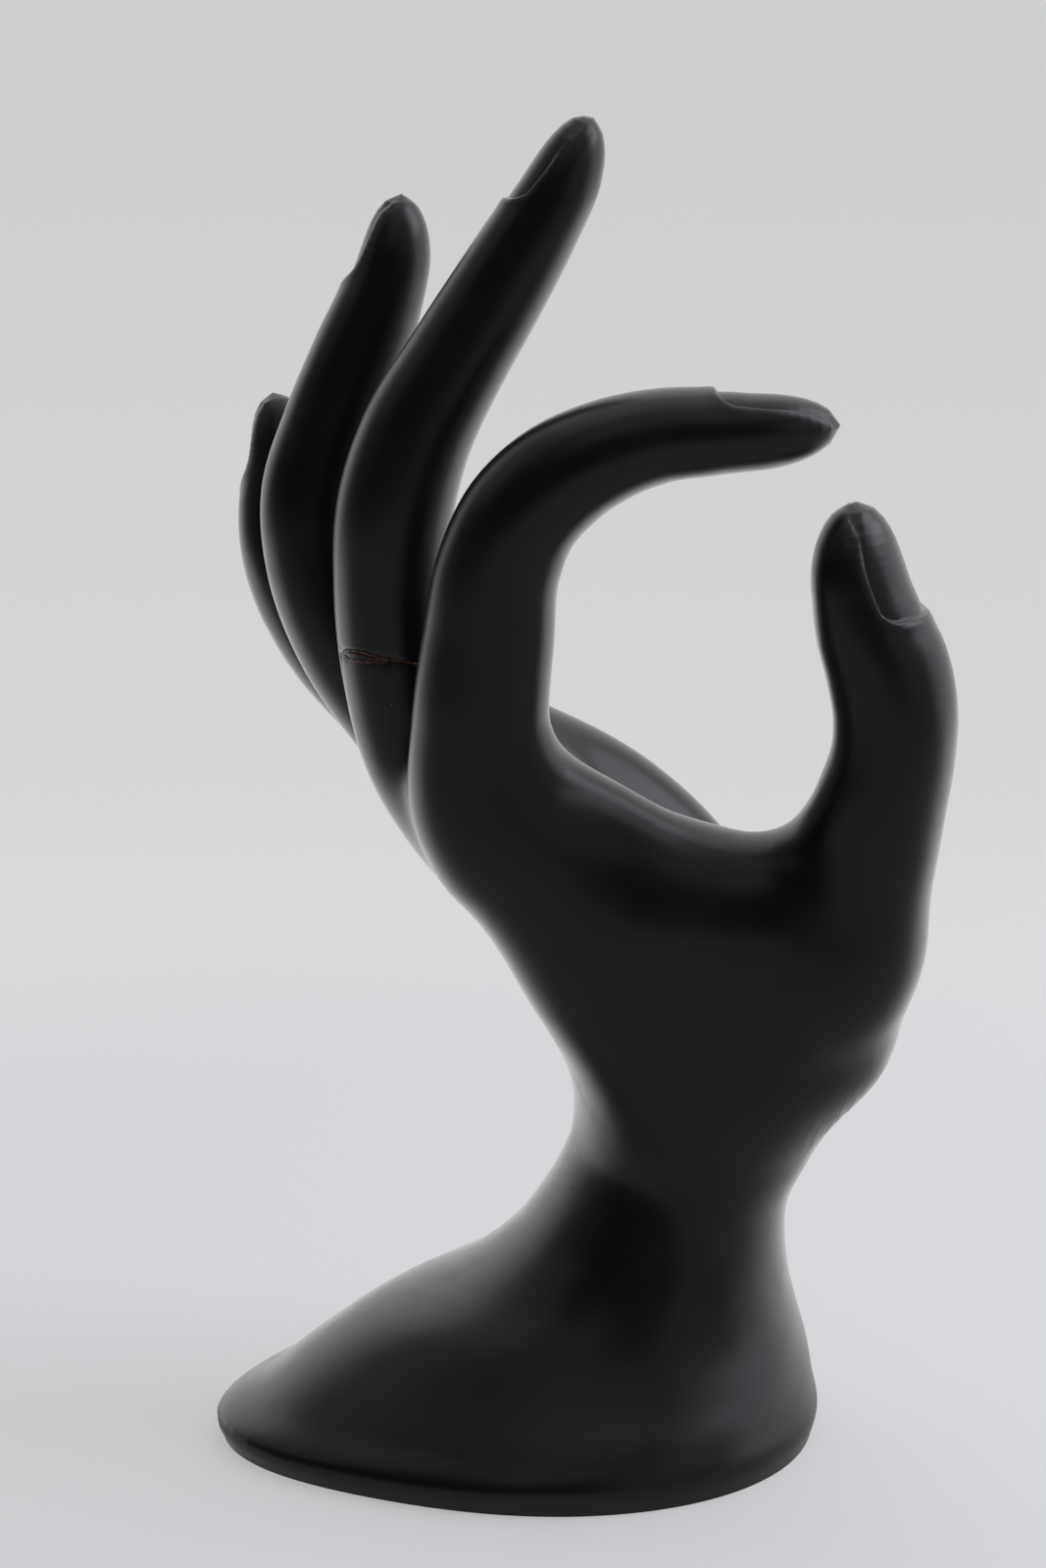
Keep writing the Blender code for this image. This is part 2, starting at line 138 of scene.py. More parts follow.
LITTLE = (
    (28.0, 8.0, 10.0, 20.0, 22.0),
    (20.5, 14.0, 25.0, 20.0, 20.0),
    (7.0, 20.0, 43.0, 18.0, 18.0),
    (-10.0, 22.5, 57.5, 16.2, 16.5),
    (-22.8, 24.0, 68.2, 15.8, 15.6),
    (-33.0, 25.5, 79.8, 14.6, 15.0),
    (-38.0, 27.0, 91.0, 13.6, 14.2),
    (-38.6, 28.0, 99.5, 13.0, 13.4),
    (-38.0, 29.0, 106.0, 11.6, 12.4),
)
LITTLE_TIP = (-39.4, 30.0, 116.7)
THUMB = (
    (27.0, -2.0, 7.0, 20.0, 24.0),
    (33.6, -5.5, 14.0, 25.2, 28.0),
    (43.0, -10.9, 25.6, 33.0, 28.0),
    (45.4, -15.5, 33.5, 28.4, 26.0),
    (49.0, -19.5, 45.5, 24.2, 23.0),
    (52.3, -22.5, 55.0, 22.0, 21.0),
    (54.2, -24.5, 62.5, 19.6, 20.0),
    (55.6, -25.6, 69.5, 18.4, 19.2),
    (55.8, -26.0, 75.5, 18.5, 18.8),
    (54.5, -26.0, 82.5, 18.4, 18.8),
    (51.8, -26.0, 89.5, 16.4, 18.2),
    (50.2, -26.0, 95.5, 14.0, 17.2),
)
THUMB_TIP = (48.9, -26.0, 107.7)

# The flesh of the palm: its far edge, its floor, its near side, and the web from index finger to thumb.
HEEL = (
    (30.0, 6.0, 8.0, 22.0, 24.0),
    (31.5, 13.0, 20.0, 25.0, 22.0),
    (26.0, 17.5, 34.5, 26.0, 21.0),
    (14.2, 20.5, 48.8, 23.0, 20.0),
    (0.0, 22.5, 58.5, 18.5, 17.5),
    (-14.0, 24.0, 65.0, 14.0, 14.5),
)
PALM_FLOOR = (
    (26.0, 2.0, 12.0, 22.0, 30.0),
    (20.2, 2.0, 25.0, 24.0, 34.0),
    (11.5, 3.0, 40.0, 22.0, 38.0),
    (1.5, 4.0, 53.0, 18.0, 36.0),
)
NEAR_SIDE = (
    (28.0, -3.0, 8.0, 24.0, 28.0),
    (27.5, -8.0, 18.0, 32.0, 32.0),
    (26.5, -12.5, 30.0, 36.0, 28.0),
    (24.5, -15.5, 42.0, 34.0, 24.0),
)
WEB = (
    (-0.6, -18.0, 57.0, 25.0, 18.0),
    (8.0, -18.0, 52.0, 26.0, 18.0),
    (19.0, -18.0, 45.5, 26.0, 18.0),
    (31.0, -18.5, 41.0, 26.0, 18.0),
    (42.0, -19.5, 40.5, 25.0, 19.0),
    (48.6, -21.0, 35.5, 27.0, 20.0),
)

# The direction across each limb that its breadth is measured along.
ACROSS_HAND = (0.0, 1.0, 0.0)
ACROSS_THUMB = (-0.54, -0.84, 0.0)


def raised(point: Point) -> Point:
    """A place that is given above the wrist, in the object's own frame."""
    x, y, height = point
    return x, y, height + WRIST_HEIGHT


def unit(vectors: Array) -> Array:
    """The vectors, each made one long."""
    return vectors / np.maximum(np.linalg.norm(vectors, axis=-1, keepdims=True), 1e-12)


def eased(share: Array) -> Array:
    """The shares, held between 0 and 1 and eased at both ends."""
    share = np.clip(share, 0.0, 1.0)
    return share**2 * (3 - 2 * share)


def hump(away: Array, width: float) -> Array:
    """1 where the distance away is nought, falling off smoothly over a width."""
    return np.exp(-((away / width) ** 2))


def melt(first: Array, second: Array, width: Array | float) -> Array:
    """The nearer of two distances, eased into one another over a width."""
    overlap = np.maximum(width - np.abs(first - second), 0.0) / width
    return np.minimum(first, second) - overlap**3 * width / 6


def blended(at: Array, rows: Array, wanted: Array) -> Array:
    """Reads a smooth curve through rows.

    Args:
        at: Where along the curve each row lies, rising.
        rows: The values there, a row for each place.
        wanted: The places to read.

    Returns:
        A row of values for each place that is wanted.
    """
    slopes = np.gradient(rows, at, axis=0)
    cell = np.clip(np.searchsorted(at, wanted, side="right") - 1, 0, len(at) - 2)
    width = (at[cell + 1] - at[cell])[:, None]
    t = (wanted - at[cell])[:, None] / width
    return (
        (1 + 2 * t) * (1 - t) ** 2 * rows[cell]
        + t * (1 - t) ** 2 * width * slopes[cell]
        + t**2 * (3 - 2 * t) * rows[cell + 1]
        + t**2 * (t - 1) * width * slopes[cell + 1]
    )


def settled(distance: Callable[[Array], Array], points: Array, rounds: int) -> Array:
    """Moves points onto a surface along the slope of its field.

    Args:
        distance: Signed distances from points to the surface.
        points: Places near the surface.
        rounds: How often to step.

    Returns:
        The points on the surface.
    """
    step = 0.05
    least_slope = 0.2
    corners = np.array([(1, 1, 1), (1, -1, -1), (-1, 1, -1), (-1, -1, 1)]) * step
    for _ in range(rounds):
        around = [distance(points + corner) for corner in corners]
        slope = sum(value[:, None] * corner for value, corner in zip(around, corners))
        slope = slope / (4 * step**2)
        steep = np.maximum((slope**2).sum(1), least_slope)
        points = points - (sum(around) / 4 / steep)[:, None] * slope
    return points


def placed(name: str, data: bpy.types.ID) -> bpy.types.Object:
    """A new object that holds the data, in the scene."""
    made = bpy.data.objects.new(name, data)
    bpy.context.collection.objects.link(made)
    return made


@contextmanager
def edited(data: bpy.types.Mesh) -> Iterator[bmesh.types.BMesh]:
    """Opens a mesh for editing and writes it back."""
    mesh = bmesh.new()
    mesh.from_mesh(data)
    yield mesh
    mesh.to_mesh(data)
    mesh.free()


@dataclass
class Limb:
    """A smooth centre line that carries oval sections, with a rounded end if it has a tip."""

    stations: Sequence[Row]
    across: Point = ACROSS_HAND
    tip: Point | None = None
    sample_step: float = 1.5
    cap_roundness: float = 1.8
    reach: float = 14.0
    centre: Array = field(init=False)
    half: Array = field(init=False)
    along: Array = field(init=False)
    side: Array = field(init=False)
    back: Array = field(init=False)
    low: Array = field(init=False)
    high: Array = field(init=False)

    def __post_init__(self) -> None:
        """Samples the centre line and its sections."""
        rows = np.array(self.stations, float)
        if self.tip is not None:
            rows = np.vstack([rows, [*self.tip, *rows[-1, 3:]]])
        rows[:, 2] += WRIST_HEIGHT
        gaps = np.linalg.norm(np.diff(rows[:, :3], axis=0), axis=1)
        at = np.concatenate([[0.0], np.cumsum(gaps)])
        wanted = np.linspace(0.0, at[-1], int(at[-1] / self.sample_step) + 2)
        path = blended(at, rows, wanted)
        self.centre = path[:, :3]
        self.half = path[:, 3:] / 2
        if self.tip is not None:
            cap = np.clip((wanted - at[-2]) / gaps[-1], 0.0, 1.0)
            closing = (1 - cap**self.cap_roundness) ** (1 / self.cap_roundness)
            self.half = self.half * np.maximum(closing, 0.02)[:, None]
        self.along = unit(np.gradient(self.centre, axis=0))
        across = np.asarray(self.across)
        self.side = unit(across - (self.along @ across)[:, None] * self.along)
        self.back = np.cross(self.along, self.side)
        margin = self.half.max() + self.reach
        self.low = self.centre.min(axis=0) - margin
        self.high = self.centre.max(axis=0) + margin

    def nearest(self, points: Array) -> tuple[Array, Array]:
        """The section that each point lies in, as an index and a share of the way to the next."""
        reach = (self.centre**2).sum(1)[None] - 2 * points @ self.centre.T
        closest = np.clip(np.argmin(reach, axis=1), 1, len(self.centre) - 2)
        best_index = closest
        best_share = np.zeros(len(points))
        best_miss = np.full(len(points), np.inf)
        for first in (closest - 1, closest):
            step = self.centre[first + 1] - self.centre[first]
            offset = points - self.centre[first]
            share = np.clip((offset * step).sum(1) / (step**2).sum(1), 0.0, 1.0)
            miss = ((offset - share[:, None] * step) ** 2).sum(1)
            better = miss < best_miss
            best_index = np.where(better, first, best_index)
            best_share = np.where(better, share, best_share)
            best_miss = np.where(better, miss, best_miss)
        return best_index, best_share

    def distance(self, points: Array) -> Array:
        """Signed distances from the points to the limb's skin, negative inside."""
        outside = np.maximum(self.low - points, points - self.high).max(axis=1)
        found = np.maximum(outside, 0.0) + self.reach
        close = outside < 0
        found[close] = self.close_distance(points[close])
        return found

    def close_distance(self, points: Array) -> Array:
        """The same, for points that lie near the limb."""
        index, share = self.nearest(points)
        share = share[:, None]

        def mixed(values: Array) -> Array:
            """The values at each point's own place along the limb."""
            return values[index] * (1 - share) + values[index + 1] * share

        offset = points - mixed(self.centre)
        half = mixed(self.half)
        thick = (offset * mixed(self.back)).sum(1) / half[:, 0]
        broad = (offset * mixed(self.side)).sum(1) / half[:, 1]
        beyond = (offset * mixed(self.along)).sum(1) / half.min(axis=1)
        level = np.sqrt(thick**2 + broad**2 + beyond**2) + 1e-9
        depth = np.linalg.norm(offset, axis=1) * (1 - 1 / level)
        return depth - (level < 1e-6) * half.min(axis=1)

    def rings(self, points: int, swell: Array) -> Array:
        """Outline points of each section, made wider by swell."""
        turn = np.linspace(0.0, 2 * np.pi, points, endpoint=False)
        half = self.half + swell[:, None]
        thick = half[:, :1, None] * np.cos(turn)[None, :, None] * self.back[:, None]
        broad = half[:, 1:, None] * np.sin(turn)[None, :, None] * self.side[:, None]
        return self.centre[:, None] + thick + broad


@dataclass
class Nail:
    """A nail that is pressed into the back of a digit.

    The plate is sunk at its root and level with the skin at the tip, and it narrows as the fingertip
    rounds off. The skin swells a little round it, and a groove runs up each side and deepens at the tip.
    """

    limb: Limb
    length: float
    half_width: float
    facing: Point
    sink: float = 0.75
    wall: float = 0.55
    corner: float = 1.8
    arc: float = 0.7
    level_share: float = 0.55
    valley: float = 1.5
    fold_height: float = 0.14
    fold_width: float = 0.9
    fold_outside: float = 0.8
    fold_fades_from: float = 0.45
    groove: float = 0.10
    tip_groove: float = 0.40
    groove_width: float = 0.36
    groove_outside: float = 0.1
    groove_deepens_from: float = 0.72
    groove_ends_from: float = 0.97
    rise: float = 0.9
    rounding: float = 11.0
    roundness: float = 1.8
    base: Array = field(init=False)
    axes: Array = field(init=False)
    reach: float = field(init=False)

    def __post_init__(self) -> None:
        """Places the nail's root and its directions: along, sideways and outwards."""
        centre = self.limb.centre
        left = np.cumsum(np.linalg.norm(np.diff(centre[::-1], axis=0), axis=1))
        self.base = centre[-2 - np.searchsorted(left, self.length)]
        along = unit(centre[-1] - self.base)
        out = np.asarray(self.facing)
        out = unit(out - (out @ along) * along)
        self.axes = np.stack([along, np.cross(along, out), out])
        self.reach = float(np.linalg.norm(centre[-1] - self.base))

    def place(self, points: Array) -> tuple[Array, Array, Array, Array]:
        """Where the points lie on the nail.

        Args:
            points: Places in the object's frame.

        Returns:
            How far each point is along the nail, sideways, outwards, and inside the plate's outline.
        """
        along, side, out = ((points - self.base) @ self.axes.T).T
        share = np.clip((along - self.reach + self.rounding) / self.rounding, 0.0, 0.995)
        closing = (1 - share**self.roundness) ** (1 / self.roundness)
        narrowing = self.half_width / self.rounding * (share / closing) ** (self.roundness - 1)
        bowed = along - self.arc * (side / self.half_width) ** 2
        within = (self.half_width * closing - np.abs(side)) / np.hypot(1.0, narrowing)
        beyond = self.corner - within
        before = self.corner - bowed
        rounded = np.hypot(np.maximum(beyond, 0.0), np.maximum(before, 0.0))
        inset = self.corner - rounded - np.minimum(np.maximum(beyond, before), 0.0)
        return along, side, out, inset

    def relief(self, points: Array) -> Array:
        """How deep the nail presses in at each point, negative where the skin swells."""
        found = np.zeros(len(points))
        close = np.linalg.norm(points - self.base, axis=1) < 1.35 * self.reach
        along, _side, out, inset = self.place(points[close])
        front = eased((out + 0.5) / 1.0)
        way = along / self.reach
        depth = self.level_share + (1 - self.level_share) * np.exp(-np.maximum(inset, 0.0) / self.valley)
        plate = self.sink * depth * eased(inset / self.wall + 0.5) * (1 - self.rise * eased(way / self.rise))
        fold = self.fold_height * hump(inset + self.fold_outside, self.fold_width)
        fold = fold * (1 - eased((way - self.fold_fades_from) / 0.5))
        deep = self.groove + (self.tip_groove - self.groove) * eased((way - self.groove_deepens_from) / 0.2)
        deep = deep * eased(way / 0.15) * (1 - 0.8 * eased((way - self.groove_ends_from) / 0.05))
        groove = deep * hump(inset + self.groove_outside, self.groove_width)
        found[close] = (plate - fold + groove) * front
        return found


@dataclass
class FootAndWrist:
    """The foot and the wrist, as oval level sections stacked over the flat sole."""

    sole_length: float = 94.2
    sole_inset: float = 1.0
    foot_length: float = 96.0
    foot_depth: float = 82.0
    edge_height: float = 3.5
    flare_height: float = 8.0
    even_height: float = 38.0
    fuller_right: float = 0.13
    leaning_left: float = 0.16
    buried: float = 10.0
    wrist: Row = (WRIST_HEIGHT, 7.4, 46.2, 21.5)
    flare: Sequence[Row] = (
        (0.0, -40.9, 47.2, 38.4),
        (0.16, -33.1, 46.1, 33.5),
        (0.32, -23.5, 44.4, 29.2),
        (0.475, -9.8, 43.0, 26.2),
        (0.63, -1.8, 42.4, 24.0),
        (0.79, 3.0, 42.8, 22.6),
    )
    shoulders: Sequence[Row] = (
        (8.0, 9.8, 49.8, 21.5),
        (16.0, 12.0, 51.0, 19.5),
        (24.0, 14.0, 46.0, 15.0),
    )
    rows: Array = field(init=False)

    def __post_init__(self) -> None:
        """Stacks the sections: height, left end, right end, half depth.

        The flare's heights are shares of the way up to the wrist, and the shoulders' are above it.
        """
        sole = self.sole_length / 2
        foot = self.foot_length / 2
        depth = self.foot_depth / 2
        inset = self.sole_inset
        flare = np.array(self.flare)
        flare[:, 0] = self.flare_height + (WRIST_HEIGHT - self.flare_height) * flare[:, 0]
        shoulders = np.array(self.shoulders)
        shoulders[:, 0] += WRIST_HEIGHT
        self.rows = np.array(
            [
                (-self.buried, inset - sole, sole - inset, depth - 2 * inset),
                (0.0, -sole, sole, depth - inset),
                (self.edge_height, -foot, foot, depth),
                *flare,
                self.wrist,
                *shoulders,
            ]
        )

    def section(self, heights: Array) -> tuple[Array, Array, Array]:
        """Middle, half length and half depth of the section at each height."""
        level = self.rows[:, 0]
        held = np.clip(heights, level[0], level[-1])
        left, right, depth = blended(level, self.rows[:, 1:], held).T
        return (left + right) / 2, (right - left) / 2, depth

    def outline(self, cosine: Array, sine: Array, heights: Array) -> Array:
        """How much further out than an oval the outline lies: fuller on the right, leaning on the left."""
        lean = self.leaning_left * sine * np.minimum(cosine, 0.0) ** 4
        fuller = self.fuller_right * sine**2 * cosine - lean
        flare_over = self.even_height - self.flare_height
        return 1 + fuller * (1 - eased((heights - self.flare_height) / flare_over))

    def level_miss(self, points: Array) -> Array:
        """How far out of its own level section each point lies."""
        middle, length, depth = self.section(points[:, 2])
        u = (points[:, 0] - middle) / length
        v = points[:, 1] / depth
        level = np.hypot(u, v) + 1e-9
        outline = self.outline(u / level, v / level, points[:, 2])
        return np.hypot(u * length, v * depth) * (1 - outline / level)

    def distance(self, points: Array) -> Array:
        """Signed distances from the points to the side and the ends, negative inside."""
        nudge = np.array([0.0, 0.0, 0.25])
        miss = self.level_miss(points)
        lean = (self.level_miss(points + nudge) - self.level_miss(points - nudge)) / 0.5
        beyond_ends = np.maximum(points[:, 2] - self.rows[-1, 0], self.rows[0, 0] - points[:, 2])
        return np.maximum(miss / np.hypot(1.0, lean), beyond_ends)

    def rings(self, points: int) -> Array:
        """Outline points of evenly spaced sections."""
        heights = np.linspace(self.rows[0, 0], self.rows[-1, 0], 40)
        middle, length, depth = self.section(heights)
        turn = np.linspace(0.0, 2 * np.pi, points, endpoint=False)
        outline = self.outline(np.cos(turn), np.sin(turn), heights[:, None])
        x = middle[:, None] + outline * length[:, None] * np.cos(turn)
        y = outline * depth[:, None] * np.sin(turn)
        z = np.repeat(heights[:, None], len(turn), axis=1)
        return np.stack([x, y, z], axis=2)


@dataclass
class HandForm:
    """The whole hand as one field of distances, its limbs melted together and its nails pressed in."""

    palm_melt: float = 12.0
    finger_melt: float = 3.5
    foot_melt: float = 12.0
    finger_direction: Point = (-0.45, 0.0, 0.9)
    fingers_part_from: float = 61.6
    fingers_part_by: float = 73.6
    foot: FootAndWrist = field(default_factory=FootAndWrist)
    limbs: list[Limb] = field(init=False)
    nails: dict[str, Nail] = field(init=False)

    def __post_init__(self) -> None:
        """Lays out the digits, the flesh of the palm and the nails."""
        digits = {
            "index": Limb(INDEX, tip=INDEX_TIP),
            "middle": Limb(MIDDLE, tip=MIDDLE_TIP),
            "ring": Limb(RING, tip=RING_TIP),
            "little": Limb(LITTLE, tip=LITTLE_TIP),
            "thumb": Limb(THUMB, ACROSS_THUMB, THUMB_TIP),
        }
        flesh = [Limb(rows) for rows in (HEEL, PALM_FLOOR, NEAR_SIDE, WEB)]
        self.limbs = [*digits.values(), *flesh]
        self.nails = {
            "index": Nail(digits["index"], 17.0, 4.5, (0.05, 0.0, 1.0)),
            "middle": Nail(digits["middle"], 16.4, 5.2, (-0.88, 0.16, 0.45), sink=0.55),
            "ring": Nail(digits["ring"], 14.5, 4.3, (-0.90, 0.42, 0.20)),
            "little": Nail(digits["little"], 14.5, 3.9, (-0.86, 0.50, 0.0)),
            "thumb": Nail(digits["thumb"], 17.5, 6.9, (0.921, -0.372, 0.10), sink=0.65, arc=0.3),
        }

    def finger_share(self, points: Array) -> Array:
        """0 in the palm, rising to 1 where the fingers are clear of it."""
        reach = (points - (0.0, 0.0, WRIST_HEIGHT)) @ np.array(self.finger_direction)
        return eased((reach - self.fingers_part_from) / (self.fingers_part_by - self.fingers_part_from))

    def distance(self, points: Array) -> Array:
        """Signed distances from the points to the skin, negative inside."""
        width = self.palm_melt + (self.finger_melt - self.palm_melt) * self.finger_share(points)
        found = melt(self.foot.distance(points), self.limbs[0].distance(points), self.foot_melt)
        for limb in self.limbs[1:]:
            found = melt(found, limb.distance(points), width)
        for nail in self.nails.values():
            found += nail.relief(points)
        return found

    def settle(self, points: Array, rounds: int) -> Array:
        """Moves points onto the skin without its scar."""
        return settled(self.distance, points, rounds)


def plain_mesh(piece: bpy.types.Object) -> None:
    """Replaces an object's mesh by what its modifiers make of it, and drops them."""
    graph = bpy.context.evaluated_depsgraph_get()
    data = bpy.data.meshes.new_from_object(piece.evaluated_get(graph))
    piece.modifiers.clear()
    piece.data = data


def vertex_places(data: bpy.types.Mesh) -> Array:
    """The places of a mesh's points, in millimetres."""
    flat = np.empty(len(data.vertices) * 3, np.float32)
    data.vertices.foreach_get("co", flat)
    return flat.reshape(-1, 3).astype(float) / MM


def set_places(data: bpy.types.Mesh, points: Array) -> None:
    """Moves a mesh's points to places in millimetres."""
    data.vertices.foreach_set("co", (points * MM).astype(np.float32).ravel())
    data.update()


def relaxed(data: bpy.types.Mesh, points: Array) -> Array:
    """The points with their spacing along the skin evened out."""
    flat = np.empty(len(data.edges) * 2, np.int32)
    data.edges.foreach_get("vertices", flat)
    ends = flat.reshape(-1, 2)
    total = np.zeros_like(points)
    count = np.zeros(len(points))
    for a, b in ((0, 1), (1, 0)):
        np.add.at(total, ends[:, a], points[ends[:, b]])
        np.add.at(count, ends[:, a], 1)
    return 0.5 * points + 0.5 * total / np.maximum(count, 1)[:, None]


def paint(data: bpy.types.Mesh, name: str, values: Array) -> None:
    """Stores a number for each point of a mesh, for its material to read."""
    layer = data.attributes.new(name, "FLOAT", "POINT")
    layer.data.foreach_set("value", values.astype(np.float32))


@dataclass(frozen=True)
class CrackPath:
    """Where the mended crack crosses the middle finger: its upper lip, its lower lip and its chipped end."""

    upper: Sequence[Point] = (
        (-27.6, -8.2, 127.2),
        (-26.9, -10.1, 128.1),
        (-26.1, -11.4, 128.4),
        (-25.0, -12.6, 128.6),
        (-23.7, -13.5, 128.5),
        (-22.4, -14.1, 128.2),
        (-21.2, -14.4, 127.8),
        (-20.1, -14.6, 127.7),
        (-19.0, -14.7, 127.4),
        (-17.6, -14.6, 127.3),
        (-16.4, -14.3, 127.0),
        (-15.2, -13.9, 126.8),
        (-14.0, -13.2, 126.5),
    )
    lower: Sequence[Point] = (
        (-26.9, -10.0, 127.6),
        (-26.2, -11.1, 127.1),
        (-25.2, -12.2, 127.0),
        (-23.9, -13.2, 127.0),
        (-22.4, -14.0, 127.1),
        (-20.9, -14.4, 127.1),
        (-19.6, -14.6, 127.3),
    )
    chips: Sequence[Point] = (
        (-27.3, -8.6, 127.4),
        (-27.2, -8.8, 126.6),
        (-27.2, -8.7, 125.8),
        (-27.2, -8.3, 125.0),
        (-27.3, -7.9, 124.4),
    )

    @staticmethod
    def distance(points: Array, path: Sequence[Point]) -> Array:
        """How far the points lie from a broken line."""
        stops = np.asarray(path)
        best = np.full(len(points), np.inf)
        for start, end in zip(stops, stops[1:]):
            step = end - start
            share = np.clip((points - start) @ step / (step @ step), 0.0, 1.0)
            miss = np.linalg.norm(points - start - share[:, None] * step, axis=1)
            best = np.minimum(best, miss)
        return best


@dataclass(frozen=True)
class Scar:
    """The dent that the crack leaves in the skin."""

    path: CrackPath = CrackPath()
    lip_depth: float = 0.22
    lip_width: float = 0.28
    lower_lip_share: float = 0.7
    filler_depth: float = 0.10
    filler_width: float = 1.5
    chip_depth: float = 0.25
    chip_width: float = 0.35
    stain_width: float = 0.8
    near: float = 6.0

    def relief(self, points: Array) -> Array:
        """How deep the scar lies below the skin at each point."""
        found = np.zeros(len(points))
        middle = np.asarray(self.path.upper).mean(axis=0)
        close = np.linalg.norm(points - middle, axis=1) < 2 * self.near
        upper = self.path.distance(points[close], self.path.upper)
        lower = self.path.distance(points[close], self.path.lower)
        chips = self.path.distance(points[close], self.path.chips)
        lips = hump(upper, self.lip_width) + self.lower_lip_share * hump(lower, self.lip_width)
        between = hump(np.maximum(upper + lower - self.filler_width, 0.0), 0.5)
        chips = hump(chips, self.chip_width)
        found[close] = self.lip_depth * lips + self.filler_depth * between + self.chip_depth * chips
        return found

    def closeness(self, points: Array) -> Array:
        """1 on the crack's lips, falling to 0 beside them."""
        return hump(self.path.distance(points, self.path.upper), self.stain_width)


class Wire:
    """A node's socket that takes arithmetic, so that a mask is written as an expression."""

    def __init__(self, web: "Web", socket: bpy.types.NodeSocket) -> None:
        """Holds the socket and the node web that it belongs to."""
        self.web = web
        self.socket = socket

    def _maths(self, operation: str, *values: Any, clamp: bool = False) -> "Wire":
        """The result of a Math node."""
        inputs = dict(enumerate(values))
        return self.web.node("ShaderNodeMath", {"operation": operation, "use_clamp": clamp}, inputs)

    def __add__(self, other: Any) -> "Wire":
        """The sum."""
        return self._maths("ADD", self, other)

    __radd__ = __add__

    def __sub__(self, other: Any) -> "Wire":
        """The difference."""
        return self._maths("SUBTRACT", self, other)

    def __rsub__(self, other: Any) -> "Wire":
        """The difference, the other way round."""
        return self._maths("SUBTRACT", other, self)

    def __mul__(self, other: Any) -> "Wire":
        """The product."""
        return self._maths("MULTIPLY", self, other)

    __rmul__ = __mul__

    def __pow__(self, other: float) -> "Wire":
        """The power."""
        return self._maths("POWER", self, other)

    def most(self, other: Any) -> "Wire":
        """The larger of the two."""
        return self._maths("MAXIMUM", self, other)

    def clamped(self) -> "Wire":
        """The value, held between 0 and 1."""
        return self._maths("ADD", self, 0.0, clamp=True)

    def step(self, low: float, high: float) -> "Wire":
        """0 at low, rising smoothly to 1 at high, which may be the smaller one."""
        if low > high:
            return 1 - self.step(high, low)
        values = {"Value": self, "From Min": low, "From Max": high}
        return self.web.node("ShaderNodeMapRange", {"interpolation_type": "SMOOTHSTEP"}, values)


class Web:
    """A node tree that is built one node at a time."""

    def __init__(self, tree: bpy.types.NodeTree) -> None:
        """Empties the tree."""
        self.tree = tree
        tree.nodes.clear()

    def node(
        self,
        kind: str,
        settings: Mapping[str, Any] | None = None,
        inputs: Mapping[int | str, Any] | None = None,
        output: int | str = 0,
    ) -> Wire:
        """Adds a node.

        Args:
            kind: The node's type.
            settings: Its properties, set first. "stops" holds a ramp's places and colours.
            inputs: Values or links for its sockets, by name or number.
            output: The socket to return.

        Returns:
            The chosen output, or a wire with no socket if the node has none.
        """
        made = self.tree.nodes.new(kind)
        for name, value in (settings or {}).items():
            if name == "stops":
                self._set_stops(made.color_ramp, value)
            else:
                setattr(made, name, value)
        for name, value in (inputs or {}).items():
            socket = self._pick(made.inputs, name)
            if isinstance(value, Wire):
                self.tree.links.new(value.socket, socket)
            else:
                socket.default_value = value
        return Wire(self, self._pick(made.outputs, output))

    @staticmethod
    def _pick(sockets: Iterable[bpy.types.NodeSocket], which: int | str) -> bpy.types.NodeSocket | None:
        """The socket of that name or number among those that the node's settings leave in use."""
        used = [socket for socket in sockets if socket.enabled]
        if isinstance(which, int):
            return used[which] if which < len(used) else None
        return next(socket for socket in used if socket.name == which)

    @staticmethod
    def _set_stops(ramp: bpy.types.ColorRamp, stops: Sequence[tuple[float, Colour]]) -> None:
        """Gives a ramp its stops."""
        while len(ramp.elements) < len(stops):
            ramp.elements.new(0.5)
        for element, (place, colour) in zip(ramp.elements, stops):
            element.position = place
            element.color = colour

    def vector(self, operation: str, *values: Any, output: int | str = 0) -> Wire:
        """The result of a Vector Math node."""
        inputs = dict(enumerate(values))
        return self.node("ShaderNodeVectorMath", {"operation": operation}, inputs, output)

    def noise(self, place: Wire, scale: float, detail: float = 2.0, roughness: float = 0.5) -> Wire:
        """A noise value from 0 to 1 at a place."""
        inputs = {"Vector": place, "Scale": scale, "Detail": detail, "Roughness": roughness}
        return self.node("ShaderNodeTexNoise", {"noise_dimensions": "3D"}, inputs, "Fac")

    def mixed(self, share: Any, first: Any, second: Any) -> Wire:
        """A colour between two others."""
        inputs = {"Factor": share, "A": first, "B": second}
        return self.node("ShaderNodeMix", {"data_type": "RGBA"}, inputs)

    def near(self, place: Wire, spot: Point, inner: float, outer: float) -> Wire:
        """1 within a distance in millimetres of a spot, falling to 0 further out."""
        spot_m = tuple(value * MM for value in spot)
        return self.vector("DISTANCE", place, spot_m, output="Value").step(outer * MM, inner * MM)

    def line(self, place: Wire, start: Point, end: Point, width: float) -> Wire:
        """1 on a fine straight line between two points in millimetres, 0 off it."""
        a = Vector(start) * MM
        step = Vector(end) * MM - a
        offset = self.vector("SUBTRACT", place, tuple(a))
        share = self.vector("DOT_PRODUCT", offset, tuple(step / step.length_squared), output="Value")
        share = share.clamped()
        spread = self.node("ShaderNodeCombineXYZ", None, {0: share, 1: share, 2: share})
        nearest = self.vector("MULTIPLY_ADD", spread, tuple(step), tuple(a))
        return self.vector("DISTANCE", place, nearest, output="Value").step(width * MM, 0.0)


